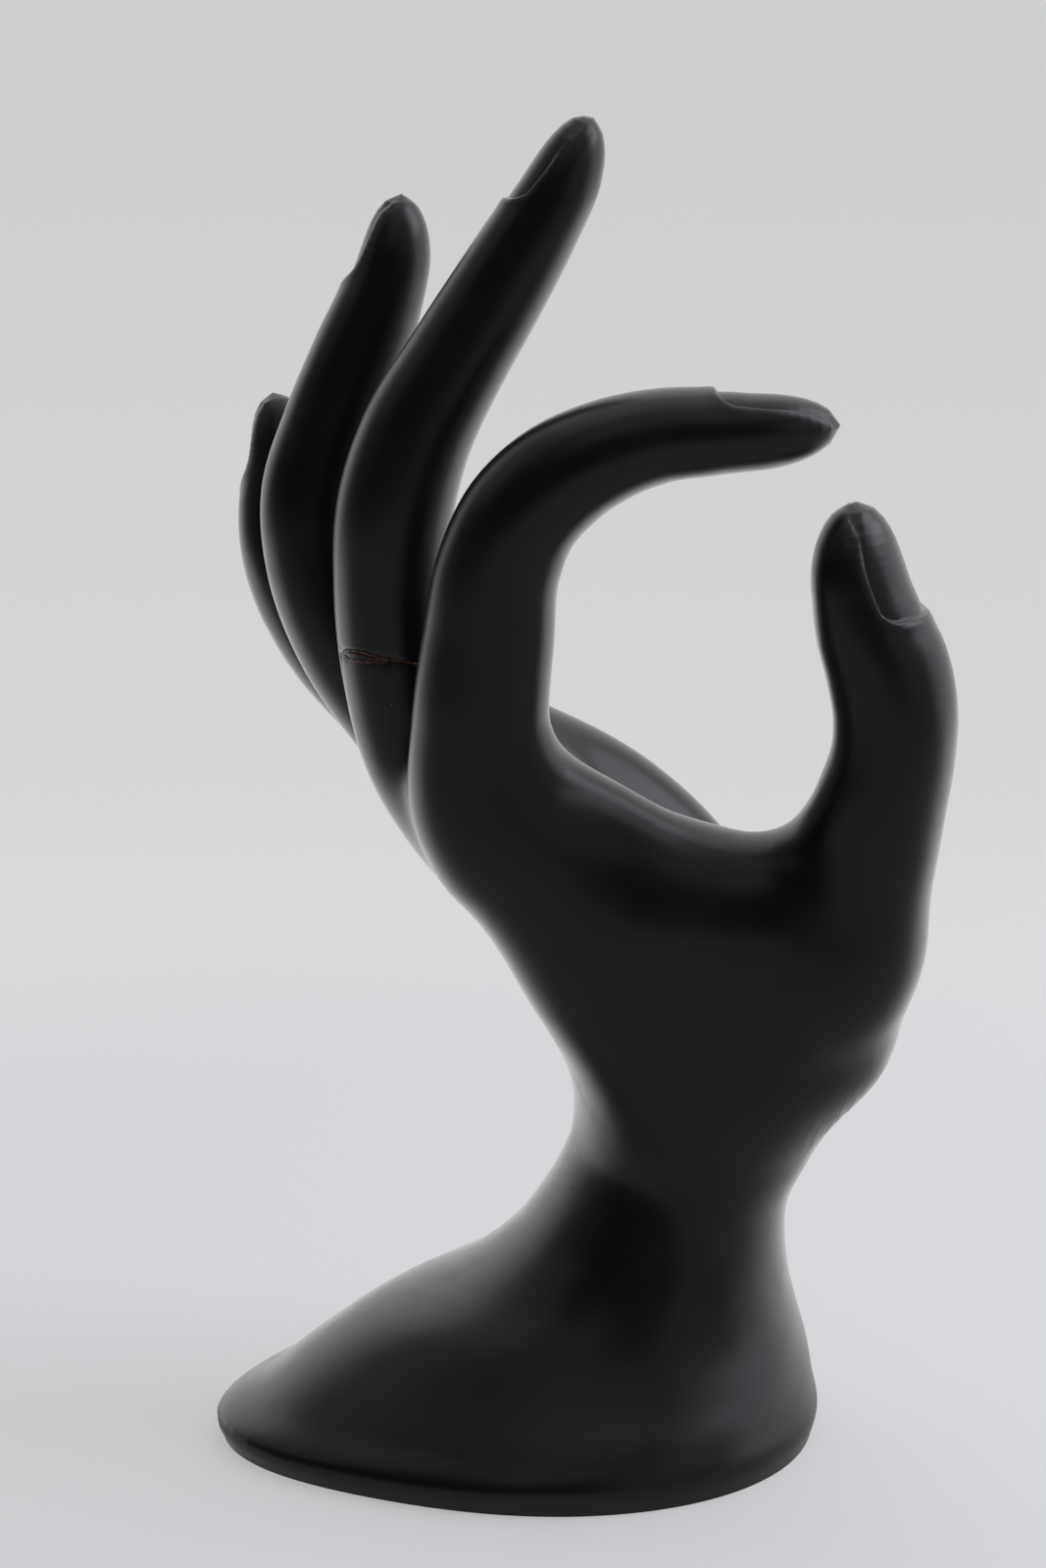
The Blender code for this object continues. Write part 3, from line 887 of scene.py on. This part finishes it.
@dataclass(frozen=True)
class Finish:
    """What every finish has: a name, and a Principled shader that its own nodes feed."""

    name: str = "finish"

    def material(self) -> bpy.types.Material:
        """The finish as a material."""
        made = bpy.data.materials.new(self.name)
        made.use_nodes = True
        web = Web(made.node_tree)
        place = web.node("ShaderNodeTexCoord", output="Object")
        shader = web.node("ShaderNodeBsdfPrincipled", None, self.sockets(web, place))
        web.node("ShaderNodeOutputMaterial", None, {"Surface": shader})
        return made

    def sockets(self, web: Web, place: Wire) -> dict[str, Any]:
        """Values and links for the shader's sockets."""
        raise NotImplementedError

    def bump(self, web: Web, height: Wire, millimetres: float, strength: float = 1.0) -> Wire:
        """A normal from a height of 0 to 1 that stands for that many millimetres."""
        inputs = {"Height": height, "Distance": millimetres * MM, "Strength": strength}
        return web.node("ShaderNodeBump", None, inputs)


@dataclass(frozen=True)
class SatinResin(Finish):
    """Black cast resin with a satin skin, lightly handled: smudges, fine scratches and rubbed fingertips."""

    name: str = SLOT
    black: Colour = (0.0050, 0.0050, 0.0053, 1.0)
    dusty: Colour = (0.009, 0.009, 0.010, 1.0)
    rubbed: Colour = (0.040, 0.040, 0.046, 1.0)
    scuffed: Colour = (0.085, 0.060, 0.045, 1.0)
    crack_edge: Colour = (0.045, 0.018, 0.014, 1.0)
    speck: Colour = (0.16, 0.15, 0.14, 1.0)
    ior: float = 1.5
    roughness: float = 0.33
    roughness_drift: float = 0.08
    grain_scale: float = 3200.0
    fine_grain_scale: float = 9000.0
    grain_height: float = 0.006
    scratch_width: float = 0.10
    scratches: Sequence[tuple[Point, Point]] = (
        ((31.2, -21.7, 101.2), (32.2, -23.9, 99.4)),
        ((32.2, -23.9, 99.4), (34.3, -26.6, 96.4)),
        ((22.1, -23.2, 102.8), (22.9, -24.4, 101.3)),
        ((24.8, -25.5, 100.6), (24.1, -27.0, 98.8)),
        ((27.5, -21.8, 102.4), (28.6, -24.6, 99.9)),
        ((11.4, -24.7, 71.0), (13.1, -24.6, 68.7)),
        ((11.8, -23.7, 67.9), (13.6, -23.8, 65.4)),
        ((-14.5, -13.0, 96.4), (-10.5, -17.5, 93.0)),
        ((-13.0, -12.0, 94.0), (-8.5, -18.0, 93.4)),
        ((6.0, 12.0, 60.0), (12.0, 20.0, 63.0)),
        ((-2.0, 14.0, 76.0), (-4.5, 18.0, 82.0)),
        ((30.0, 26.0, 40.0), (36.0, 22.0, 46.0)),
    )
    streak_middle: Point = (45.0, -19.0, 57.0)
    streak_along: Point = (0.38, -0.36, 0.85)
    streak_across: Point = (-0.84, 0.26, 0.47)
    tips: Sequence[Point] = tuple(raised(tip) for tip in (INDEX_TIP, MIDDLE_TIP, RING_TIP, THUMB_TIP))

    def sockets(self, web: Web, place: Wire) -> dict[str, Any]:
        """Near-black colour, uneven roughness and a fine grain, with the marks of use on top."""
        wander = web.vector("MULTIPLY_ADD", web.noise(place, 700.0), (0.0006,) * 3, place)
        drift = web.noise(place, 38.0, 3.0)
        smudge = web.noise(place, 120.0, 4.0, 0.6).step(0.52, 0.68)
        grain = web.noise(place, self.grain_scale, 3.0, 0.6)
        fine = web.noise(place, self.fine_grain_scale, 1.0)

        marks = None
        for start, end in self.scratches:
            mark = web.line(wander, start, end, self.scratch_width)
            marks = mark if marks is None else marks.most(mark)
        streaks = self.streaks(web, place)
        worn = self.worn(web, place, grain)
        scuff = web.near(place, raised(LITTLE_TIP), 1.2, 3.4) * grain.step(0.42, 0.58)
        crack = self.crack(web, place)
        specks = self.specks(web, place)

        colour = web.mixed(drift.step(0.35, 0.75), self.black, self.dusty)
        colour = web.mixed((marks * 0.8 + worn * 0.7).clamped(), colour, self.rubbed)
        colour = web.mixed(scuff, colour, self.scuffed)
        colour = web.mixed(crack, colour, self.crack_edge)
        colour = web.mixed(specks * 0.5, colour, self.speck)
        roughness = self.roughness + (drift - 0.5) * self.roughness_drift + smudge * 0.05
        roughness = roughness + streaks * 0.10 - worn * 0.16 - crack * 0.12 + marks * 0.1
        height = grain * 0.6 + fine * 0.25 + streaks * 0.9 - marks * 1.2
        return {
            "Base Color": colour,
            "Roughness": roughness.clamped(),
            "IOR": self.ior,
            "Normal": self.bump(web, height, self.grain_height),
        }

    def streaks(self, web: Web, place: Wire) -> Wire:
        """Fine rubbing lines, side by side, where the palm narrows to the wrist."""
        across = web.vector("DOT_PRODUCT", place, self.streak_across, output="Value")
        along = web.vector("DOT_PRODUCT", place, self.streak_along, output="Value")
        laid = web.node("ShaderNodeCombineXYZ", None, {0: across * 2600.0, 1: along * 90.0, 2: 0.0})
        lines = web.noise(laid, 1.0, 2.0, 0.7).step(0.45, 0.62)
        return lines * web.near(place, self.streak_middle, 6.0, 15.0)

    def worn(self, web: Web, place: Wire, grain: Wire) -> Wire:
        """Rubbed spots at the fingertips."""
        found = None
        for tip in self.tips:
            spot = web.near(place, tip, 0.6, 2.0)
            found = spot if found is None else found.most(spot)
        return found * grain.step(0.40, 0.62)

    def crack(self, web: Web, place: Wire) -> Wire:
        """A reddish stain that follows the crack's lips, broken up along its edge."""
        stain = web.node("ShaderNodeAttribute", {"attribute_name": "crack"}, None, "Fac")
        return (stain * web.noise(place, 1500.0, 3.0).step(0.38, 0.62)).clamped()

    def specks(self, web: Web, place: Wire) -> Wire:
        """Pin-prick pale specks, a few millimetres apart."""
        cells = web.node("ShaderNodeTexVoronoi", None, {"Vector": place, "Scale": 210.0}, "Distance")
        return cells.step(0.024, 0.014)


@dataclass(frozen=True)
class MendingGlue(Finish):
    """Dark glue with a reddish-brown tint that squeezed out of the crack."""

    name: str = "mending_glue"
    dark: Colour = (0.012, 0.007, 0.007, 1.0)
    tint: Colour = (0.16, 0.032, 0.022, 1.0)
    fleck: Colour = (0.62, 0.20, 0.07, 1.0)

    def sockets(self, web: Web, place: Wire) -> dict[str, Any]:
        """Glossy glue, patchy in colour, with a few orange flecks."""
        patches = web.noise(place, 1100.0, 3.0).step(0.40, 0.60)
        flecks = web.noise(place, 3400.0, 2.0).step(0.61, 0.65)
        colour = web.mixed(patches, self.dark, self.tint)
        colour = web.mixed(flecks, colour, self.fleck)
        rough = web.noise(place, 2400.0, 2.0)
        return {
            "Base Color": colour,
            "Roughness": 0.22 + rough * 0.2,
            "Normal": self.bump(web, rough, 0.05),
        }


@dataclass(frozen=True)
class PaleGrit(Finish):
    """Dust and chipped resin: pale, dry and matt."""

    name: str = "pale_dust"
    dark: Colour = (0.10, 0.10, 0.09, 1.0)
    light: Colour = (0.42, 0.40, 0.37, 1.0)

    def sockets(self, web: Web, place: Wire) -> dict[str, Any]:
        """Each grain has its own shade."""
        shade = web.noise(place, 900.0, 1.0).step(0.35, 0.65)
        return {
            "Base Color": web.mixed(shade, self.dark, self.light),
            "Roughness": 0.85,
            "Normal": self.bump(web, web.noise(place, 8000.0), 0.03),
        }


@dataclass
class GrowthTree:
    """A Geometry Nodes tree with named inputs, made into a plain mesh when it has run."""

    name: str
    inputs: Mapping[str, float | int]
    web: Web = field(init=False)
    source: bpy.types.Node = field(init=False)

    def __post_init__(self) -> None:
        """Starts the tree with its inputs and its output."""
        tree = bpy.data.node_groups.new(self.name, "GeometryNodeTree")
        sockets = tree.interface
        sockets.new_socket("Geometry", in_out="INPUT", socket_type="NodeSocketGeometry")
        for name, value in self.inputs.items():
            kind = "NodeSocketInt" if isinstance(value, int) else "NodeSocketFloat"
            sockets.new_socket(name, in_out="INPUT", socket_type=kind)
        sockets.new_socket("Geometry", in_out="OUTPUT", socket_type="NodeSocketGeometry")
        self.web = Web(tree)
        self.source = tree.nodes.new("NodeGroupInput")

    def value(self, name: str) -> Wire:
        """One of the tree's inputs."""
        return Wire(self.web, self.source.outputs[name])

    def close(self, shape: Wire, material: bpy.types.Material) -> None:
        """Ends the tree: real geometry, smooth, with its material."""
        shape = self.web.node("GeometryNodeRealizeInstances", None, {0: shape})
        shape = self.web.node("GeometryNodeSetShadeSmooth", None, {0: shape})
        shape = self.web.node("GeometryNodeSetMaterial", None, {0: shape, "Material": material})
        self.web.node("NodeGroupOutput", None, {0: shape})

    def grow(self, base: bpy.types.ID, material: bpy.types.Material) -> bpy.types.Object:
        """Runs the tree.

        Args:
            base: The mesh or curve that it starts from.
            material: The material of what it makes.

        Returns:
            A plain mesh object at the origin.
        """
        piece = placed(self.name, base)
        modifier = piece.modifiers.new("grow", "NODES")
        modifier.node_group = self.web.tree
        for item in self.web.tree.interface.items_tree:
            if item.item_type == "SOCKET" and item.in_out == "INPUT" and item.name in self.inputs:
                modifier[item.identifier] = self.inputs[item.name]
        graph = bpy.context.evaluated_depsgraph_get()
        data = bpy.data.meshes.new_from_object(piece.evaluated_get(graph))
        data.name = self.name
        bpy.data.objects.remove(piece)
        grown = placed(self.name, data)
        if not data.materials:
            data.materials.append(material)
        return grown


@dataclass
class HandSkin:
    """The casting itself: the form's surface as one mesh, finer round the nails and the crack."""

    form: HandForm
    scar: Scar = field(default_factory=Scar)
    finish: SatinResin = field(default_factory=SatinResin)
    voxel: float = 1.25
    swell: float = 1.0
    ring_points: int = 24
    margins: Sequence[tuple[float, float, float]] = ((9.0, 2.2, 1.6), (9.0, 2.0, 1.4), (0.7, 0.9, 0.9))

    def build(self) -> bpy.types.Object:
        """Makes, refines and dresses the skin.

        Returns:
            The finished piece.
        """
        piece = self.rough_skin()
        remesh = piece.modifiers.new("one_skin", "REMESH")
        remesh.mode = "VOXEL"
        remesh.voxel_size = self.voxel * MM
        plain_mesh(piece)
        self.fit(piece.data, rounds=3)
        for margins in self.margins:
            self.refine(piece.data, *margins)
            set_places(piece.data, self.settle(vertex_places(piece.data), 1))
        self.fit(piece.data, rounds=1, last=2)
        self.cut_sole(piece.data)
        self.note_marks(piece.data)
        piece.data.shade_smooth()
        piece.data.set_sharp_from_angle(angle=math.radians(50.0))
        piece.data.materials.append(self.finish.material())
        return piece

    def distance(self, points: Array) -> Array:
        """Signed distances from the points to the skin, scar included."""
        return self.form.distance(points) + self.scar.relief(points)

    def settle(self, points: Array, rounds: int) -> Array:
        """Moves points onto the skin, scar included."""
        return settled(self.distance, points, rounds)

    def rough_skin(self) -> bpy.types.Object:
        """An object that holds a rough closed tube round every limb."""
        data = bpy.data.meshes.new("hand_skin")
        with edited(data) as mesh:
            for limb in self.form.limbs:
                swell = self.swell * (1 - self.form.finger_share(limb.centre))
                self.add_tube(mesh, limb.rings(self.ring_points, swell))
            self.add_tube(mesh, self.form.foot.rings(2 * self.ring_points))
            bmesh.ops.recalc_face_normals(mesh, faces=mesh.faces)
        return placed("hand_skin", data)

    @staticmethod
    def add_tube(mesh: bmesh.types.BMesh, rings: Array) -> None:
        """Adds a closed tube through the rings to the mesh."""
        loops = [[mesh.verts.new(point * MM) for point in ring] for ring in rings]
        count = len(loops[0])
        for lower, upper in zip(loops, loops[1:]):
            for i in range(count):
                j = (i + 1) % count
                mesh.faces.new((lower[i], lower[j], upper[j], upper[i]))
        mesh.faces.new(loops[0][::-1])
        mesh.faces.new(loops[-1])

    def fit(self, data: bpy.types.Mesh, rounds: int, last: int = 1) -> None:
        """Settles the mesh's points onto the skin, evening out their spacing in between."""
        points = vertex_places(data)
        for _ in range(rounds):
            points = relaxed(data, self.settle(points, 1))
        set_places(data, self.settle(points, last))

    def refine(self, data: bpy.types.Mesh, inside: float, outside: float, beside_crack: float) -> None:
        """Halves the edges near the nails and the crack.

        Args:
            data: The mesh to refine.
            inside: How far inside a nail's outline the detail reaches.
            outside: How far outside it.
            beside_crack: How far from the crack.
        """
        points = vertex_places(data)
        path = self.scar.path
        crack = np.minimum(path.distance(points, path.upper), path.distance(points, path.chips))
        wanted = crack < beside_crack
        for nail in self.form.nails.values():
            along, _side, out, inset = nail.place(points)
            wanted |= (inset > -outside) & (inset < inside) & (out > -0.5) & (along < nail.reach + 1.5)
        with edited(data) as mesh:
            mesh.verts.ensure_lookup_table()
            edges = [edge for edge in mesh.edges if all(wanted[vert.index] for vert in edge.verts)]
            bmesh.ops.subdivide_edges(mesh, edges=edges, cuts=1, use_grid_fill=True)

    @staticmethod
    def cut_sole(data: bpy.types.Mesh) -> None:
        """Cuts the foot flat at the floor and closes it."""
        with edited(data) as mesh:
            parts = [*mesh.verts, *mesh.edges, *mesh.faces]
            cut = bmesh.ops.bisect_plane(
                mesh, geom=parts, plane_co=(0, 0, 0), plane_no=(0, 0, -1), clear_outer=True
            )
            rim = [item for item in cut["geom_cut"] if isinstance(item, bmesh.types.BMEdge)]
            bmesh.ops.contextual_create(mesh, geom=rim)
            bmesh.ops.triangulate(mesh, faces=[face for face in mesh.faces if len(face.verts) > 4])
            bmesh.ops.recalc_face_normals(mesh, faces=mesh.faces)

    def note_marks(self, data: bpy.types.Mesh) -> None:
        """Stores where the crack's stain and the dust lie."""
        points = vertex_places(data)
        paint(data, "crack", self.scar.closeness(points))
        paint(data, "dust", Dust().density(points))


@dataclass
class GlueSeam:
    """Beads of glue along the crack's two lips."""

    path: CrackPath = field(default_factory=CrackPath)
    finish: MendingGlue = field(default_factory=MendingGlue)
    step: float = 0.12
    bead_radius: float = 0.17
    raggedness: float = 0.32
    thinning: float = 0.75
    thinnest: float = 0.2
    wobble_scale: float = 1300.0
    uneven_scale: float = 900.0
    ring_points: int = 7
    sunk: float = 0.10
    finger_middle: tuple[float, float] = (-20.0, -6.5)

    def build(self, form: HandForm) -> bpy.types.Object:
        """Grows the beads on the skin.

        Args:
            form: The form whose skin the beads lie on.

        Returns:
            The finished piece.
        """
        material = self.finish.material()
        tree = GrowthTree(
            "crack_glue",
            {
                "Step": self.step * MM,
                "Bead Radius": self.bead_radius * MM,
                "Raggedness": self.raggedness * MM,
                "Thinning": self.thinning,
            },
        )
        web = tree.web
        path = Wire(web, tree.source.outputs["Geometry"])
        inputs = {"Curve": path, "Length": tree.value("Step")}
        path = web.node("GeometryNodeResampleCurve", {"mode": "LENGTH"}, inputs)
        place = web.node("GeometryNodeInputPosition")
        inputs = {"Vector": place, "Scale": self.wobble_scale, "Detail": 2.0}
        wobble = web.node("ShaderNodeTexNoise", None, inputs, "Color")
        inputs = {0: web.vector("SUBTRACT", wobble, (0.5, 0.5, 0.5)), "Scale": tree.value("Raggedness")}
        wobble = web.node("ShaderNodeVectorMath", {"operation": "SCALE"}, inputs)
        path = web.node("GeometryNodeSetPosition", None, {"Geometry": path, "Offset": wobble})
        uneven = web.noise(place, self.uneven_scale, 3.0, 0.7)
        end = web.node("GeometryNodeSplineParameter", None, None, "Factor")
        taper = (end * (1 - end) * 4) ** 0.4
        width = taper * ((uneven - 0.5) * 2 * tree.value("Thinning") + 1).most(self.thinnest)
        width = width * tree.value("Bead Radius")
        inputs = {"Resolution": self.ring_points, "Radius": 1.0}
        ring = web.node("GeometryNodeCurvePrimitiveCircle", {"mode": "RADIUS"}, inputs)
        inputs = {"Curve": path, "Profile Curve": ring, "Scale": width, "Fill Caps": True}
        tree.close(web.node("GeometryNodeCurveToMesh", None, inputs), material)
        return tree.grow(self.curve(form), material)

    def curve(self, form: HandForm) -> bpy.types.Curve:
        """The crack's lips as a curve that lies just under the skin."""
        curve = bpy.data.curves.new("crack_lips", "CURVE")
        curve.dimensions = "3D"
        for lip in (self.path.upper, self.path.lower):
            points = form.settle(np.asarray(lip, float), 3)
            middle = points.copy()
            middle[:, :2] = self.finger_middle
            inward = unit(middle - points)
            spline = curve.splines.new("POLY")
            spline.points.add(len(points) - 1)
            for spot, (x, y, z) in zip(spline.points, points + self.sunk * inward):
                spot.co = (x * MM, y * MM, z * MM, 1.0)
        return curve


@dataclass
class Dust:
    """Specks of dust, thickest on the middle finger, and chips of resin at the crack's end."""

    finish: PaleGrit = field(default_factory=PaleGrit)
    per_square_metre: float = 42000.0
    speck_radius: float = 0.11
    seed: int = 5
    smallest: Point = (0.45, 0.45, 0.3)
    largest: Point = (1.5, 1.2, 0.8)
    everywhere: float = 0.0015
    none_below: float = 1.0
    spots: Sequence[tuple[Point, float, float]] = (
        ((-14.8, -15.0, 147.2), 2.6, 1.0),
        ((-17.4, -15.1, 138.7), 4.5, 0.16),
        ((-18.9, -14.2, 118.5), 4.0, 0.10),
        ((38.9, -28.2, 95.6), 2.0, 0.7),
        ((-5.5, -30.9, 122.2), 2.0, 0.25),
        ((20.0, -26.0, 100.0), 8.0, 0.03),
    )

    def density(self, points: Array) -> Array:
        """How dusty each point is, from 0 to 1: each spot has a place, a spread and a share."""
        found = np.full(len(points), self.everywhere)
        for spot, spread, share in self.spots:
            miss = np.linalg.norm(points - np.array(spot), axis=1)
            found += share * hump(miss, spread)
        return np.where(points[:, 2] > self.none_below, found, 0.0)

    def build(self, skin: bpy.types.Object) -> bpy.types.Object:
        """Scatters the specks over the skin.

        Args:
            skin: The finished skin, which holds the dust's density.

        Returns:
            The finished piece.
        """
        material = self.finish.material()
        tree = GrowthTree(
            "dust_specks",
            {"Density": self.per_square_metre, "Radius": self.speck_radius * MM, "Seed": self.seed},
        )
        web = tree.web
        skin_shape = Wire(web, tree.source.outputs["Geometry"])
        dusty = web.node(
            "GeometryNodeInputNamedAttribute", {"data_type": "FLOAT"}, {"Name": "dust"}, "Attribute"
        )
        inputs = {"Mesh": skin_shape, "Density": dusty * tree.value("Density"), "Seed": tree.value("Seed")}
        spread = web.node("GeometryNodeDistributePointsOnFaces", {"distribute_method": "RANDOM"}, inputs)
        speck = web.node(
            "GeometryNodeMeshIcoSphere", None, {"Radius": tree.value("Radius"), "Subdivisions": 1}
        )
        size = self.random(web, tree, self.smallest, self.largest)
        turn = self.random(web, tree, (0.0, 0.0, 0.0), (6.28, 6.28, 6.28))
        inputs = {"Points": spread, "Instance": speck, "Scale": size, "Rotation": turn}
        tree.close(web.node("GeometryNodeInstanceOnPoints", None, inputs), material)
        return tree.grow(skin.data, material)

    @staticmethod
    def random(web: Web, tree: GrowthTree, low: Point, high: Point) -> Wire:
        """A different vector for each speck."""
        inputs = {"Min": low, "Max": high, "Seed": tree.value("Seed")}
        return web.node("FunctionNodeRandomValue", {"data_type": "FLOAT_VECTOR"}, inputs)


class Backdrop(Enum):
    """Where the background's tones lie, as the height of the line of sight."""

    FLOOR_NEAR = -0.42
    FLOOR_FAR = -0.30
    SWEEP = -0.23
    WALL = -0.05


@dataclass(frozen=True)
class Panel:
    """A soft panel that shines evenly and that the camera doesn't see."""

    name: str
    place: Point
    size: tuple[float, float]
    radiance: float
    tint: tuple[float, float, float] = (0.96, 0.97, 1.06)

    def hang(self, aim: Point) -> None:
        """Hangs the panel so that it faces a point."""
        data = bpy.data.lights.new(self.name, "AREA")
        data.shape = "RECTANGLE"
        data.size = self.size[0] * MM
        data.size_y = self.size[1] * MM
        data.energy = LAMP_WATTS * self.radiance * data.size * data.size_y
        data.color = self.tint
        made = placed(self.name, data)
        made.location = Vector(self.place) * MM
        made.rotation_euler = (Vector(aim) - Vector(self.place)).to_track_quat("-Z", "Y").to_euler()
        made.visible_camera = False


@dataclass
class Studio:
    """A plain pale floor in a white cove that is dim towards the camera, soft panels, and the camera."""

    target: Point = (0.5, 0.0, 105.0)
    distance: float = 600.0
    elevation: float = 13.0
    focal_pixels: float = 3924.0
    picture: tuple[int, int] = (1067, 1600)
    sensor: float = 36.0
    floor_radius: float = 700.0
    floor_fade_from: float = 170.0
    floor_gone_by: float = 400.0
    tones: Mapping[Backdrop, float] = field(
        default_factory=lambda: {
            Backdrop.FLOOR_NEAR: 0.73,
            Backdrop.FLOOR_FAR: 0.76,
            Backdrop.SWEEP: 0.67,
            Backdrop.WALL: 0.615,
        }
    )
    floor_glow: float = 0.41
    floor_paleness: float = 0.36
    behind_light: float = 1.25
    front_light: float = 0.03
    behind_from: float = 0.25
    behind_by: float = 0.7
    floor_behind: float = 1.7
    floor_before: float = 0.30
    floor_bright_from: float = 110.0
    floor_dim_by: float = -40.0
    aim: Point = (0.0, 0.0, 100.0)
    panels: Sequence[Panel] = (
        Panel("tent_top", (0.0, 120.0, 950.0), (900.0, 800.0), 0.55),
        Panel("tent_left", (-650.0, 0.0, 750.0), (600.0, 700.0), 0.2),
        Panel("tent_right", (650.0, 0.0, 750.0), (600.0, 700.0), 2.1),
        Panel("over_camera", (0.0, -550.0, 850.0), (800.0, 500.0), 0.25),
        Panel("right_side", (950.0, 100.0, 300.0), (700.0, 800.0), 0.85),
        Panel("right_front", (650.0, -700.0, 350.0), (600.0, 600.0), 0.2),
    )

    def build(self) -> None:
        """Sets up the camera, the lamps, the world and the floor."""
        self.camera()
        for panel in self.panels:
            panel.hang(self.aim)
        self.world()
        self.floor()

    def camera(self) -> None:
        """Places the camera at the photograph's viewing angle."""
        data = bpy.data.cameras.new("camera")
        data.sensor_width = self.sensor
        data.lens = self.focal_pixels * self.sensor / max(self.picture)
        data.clip_start = 0.01
        made = placed("camera", data)
        angle = math.radians(self.elevation)
        away = Vector((0.0, -math.cos(angle), math.sin(angle))) * self.distance
        made.location = (Vector(self.target) + away) * MM
        made.rotation_euler = (-away).to_track_quat("-Z", "Y").to_euler()
        bpy.context.scene.camera = made

    def world(self) -> None:
        """A white cove behind the object and a dim room before it, with a pale backdrop for the camera."""
        world = bpy.data.worlds.new("tent")
        bpy.context.scene.world = world
        world.use_nodes = True
        web = Web(world.node_tree)
        ray = web.node("ShaderNodeTexCoord", None, None, "Generated")
        height = web.node("ShaderNodeSeparateXYZ", None, {0: ray}, "Z")
        lowest = Backdrop.FLOOR_NEAR.value
        span = Backdrop.WALL.value - lowest
        stops = [((stop.value - lowest) / span, self.grey(tone)) for stop, tone in self.tones.items()]
        colour = web.node("ShaderNodeValToRGB", {"stops": stops}, {0: (height - lowest) * (1 / span)})
        seen = web.node("ShaderNodeBackground", None, {"Color": colour, "Strength": 1.0})
        behind = web.node("ShaderNodeSeparateXYZ", None, {0: ray}, "Y").step(self.behind_from, self.behind_by)
        light = self.front_light + behind * (self.behind_light - self.front_light)
        room = web.node("ShaderNodeBackground", None, {"Color": self.grey(1.0), "Strength": light})
        path = web.node("ShaderNodeLightPath", None, None, "Is Camera Ray")
        made = web.node("ShaderNodeMixShader", None, {0: path, 1: room, 2: seen})
        web.node("ShaderNodeOutputWorld", None, {"Surface": made})

    @staticmethod
    def grey(tone: float) -> Colour:
        """A neutral colour, a touch cool."""
        return (tone, tone * 1.005, tone * 1.015, 1.0)

    def floor(self) -> None:
        """Lays a round floor that fades into the backdrop."""
        data = bpy.data.meshes.new("floor")
        with edited(data) as mesh:
            bmesh.ops.create_circle(mesh, cap_ends=True, segments=96, radius=self.floor_radius * MM)
        made = placed("floor", data)
        data.materials.append(self.floor_paint())
        made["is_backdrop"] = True

    def floor_paint(self) -> bpy.types.Material:
        """Pale matt paint that keeps the object's shadow and meets the backdrop's tone."""
        made = bpy.data.materials.new("floor_paint")
        made.use_nodes = True
        web = Web(made.node_tree)
        place = web.node("ShaderNodeTexCoord", None, None, "Object")
        depth = web.node("ShaderNodeSeparateXYZ", None, {0: place}, "Y")
        far = depth.step(self.floor_dim_by * MM, self.floor_bright_from * MM)
        bright = self.floor_before + far * (self.floor_behind - self.floor_before)
        lit = web.node("ShaderNodeEmission", None, {"Color": self.grey(1.0), "Strength": bright})
        half = web.node("ShaderNodeBsdfDiffuse", None, {"Color": self.grey(self.floor_paleness)})
        glow = web.node("ShaderNodeEmission", None, {"Color": self.grey(1.0), "Strength": self.floor_glow})
        seen = web.node("ShaderNodeAddShader", None, {0: half, 1: glow})
        camera = web.node("ShaderNodeLightPath", None, None, "Is Camera Ray")
        paint = web.node("ShaderNodeMixShader", None, {0: camera, 1: lit, 2: seen})
        away = web.vector("LENGTH", place, output="Value")
        gone = away.step(self.floor_fade_from * MM, self.floor_gone_by * MM)
        clear = web.node("ShaderNodeBsdfTransparent")
        fading = web.node("ShaderNodeMixShader", None, {0: gone * camera, 1: paint, 2: clear})
        web.node("ShaderNodeOutputMaterial", None, {"Surface": fading})
        return made


def keep(piece: bpy.types.Object, pieces: Iterable[str] = ()) -> None:
    """Hands a finished piece over to the frame.

    Args:
        piece: The piece, at the origin.
        pieces: The solids that it stands for.
    """
    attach(piece, BODY)
    if pieces:
        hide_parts(*pieces)
    low, high = (Vector(corner) for corner in (piece.bound_box[0], piece.bound_box[6]))
    faces = sum(len(face.vertices) - 2 for face in piece.data.polygons)
    log.info("%s: %d triangles, %s mm", piece.name, faces, [round(v / MM, 1) for v in high - low])


def corners() -> list[list[float]]:
    """The shown object's lowest and highest corner, as plain numbers."""
    return [list(corner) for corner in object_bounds()]


def main() -> None:
    """Builds the stand and the studio, and logs each piece's triangles and size."""
    logging.basicConfig(level=logging.INFO, format="%(name)s: %(message)s")
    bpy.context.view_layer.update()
    bpy.context.scene.view_settings.view_transform = "Standard"
    Studio().build()
    form = HandForm()
    skin = HandSkin(form).build()
    keep(skin, [NODE])
    keep(GlueSeam().build(form))
    keep(Dust().build(skin))


if __name__ == "__main__":
    main()
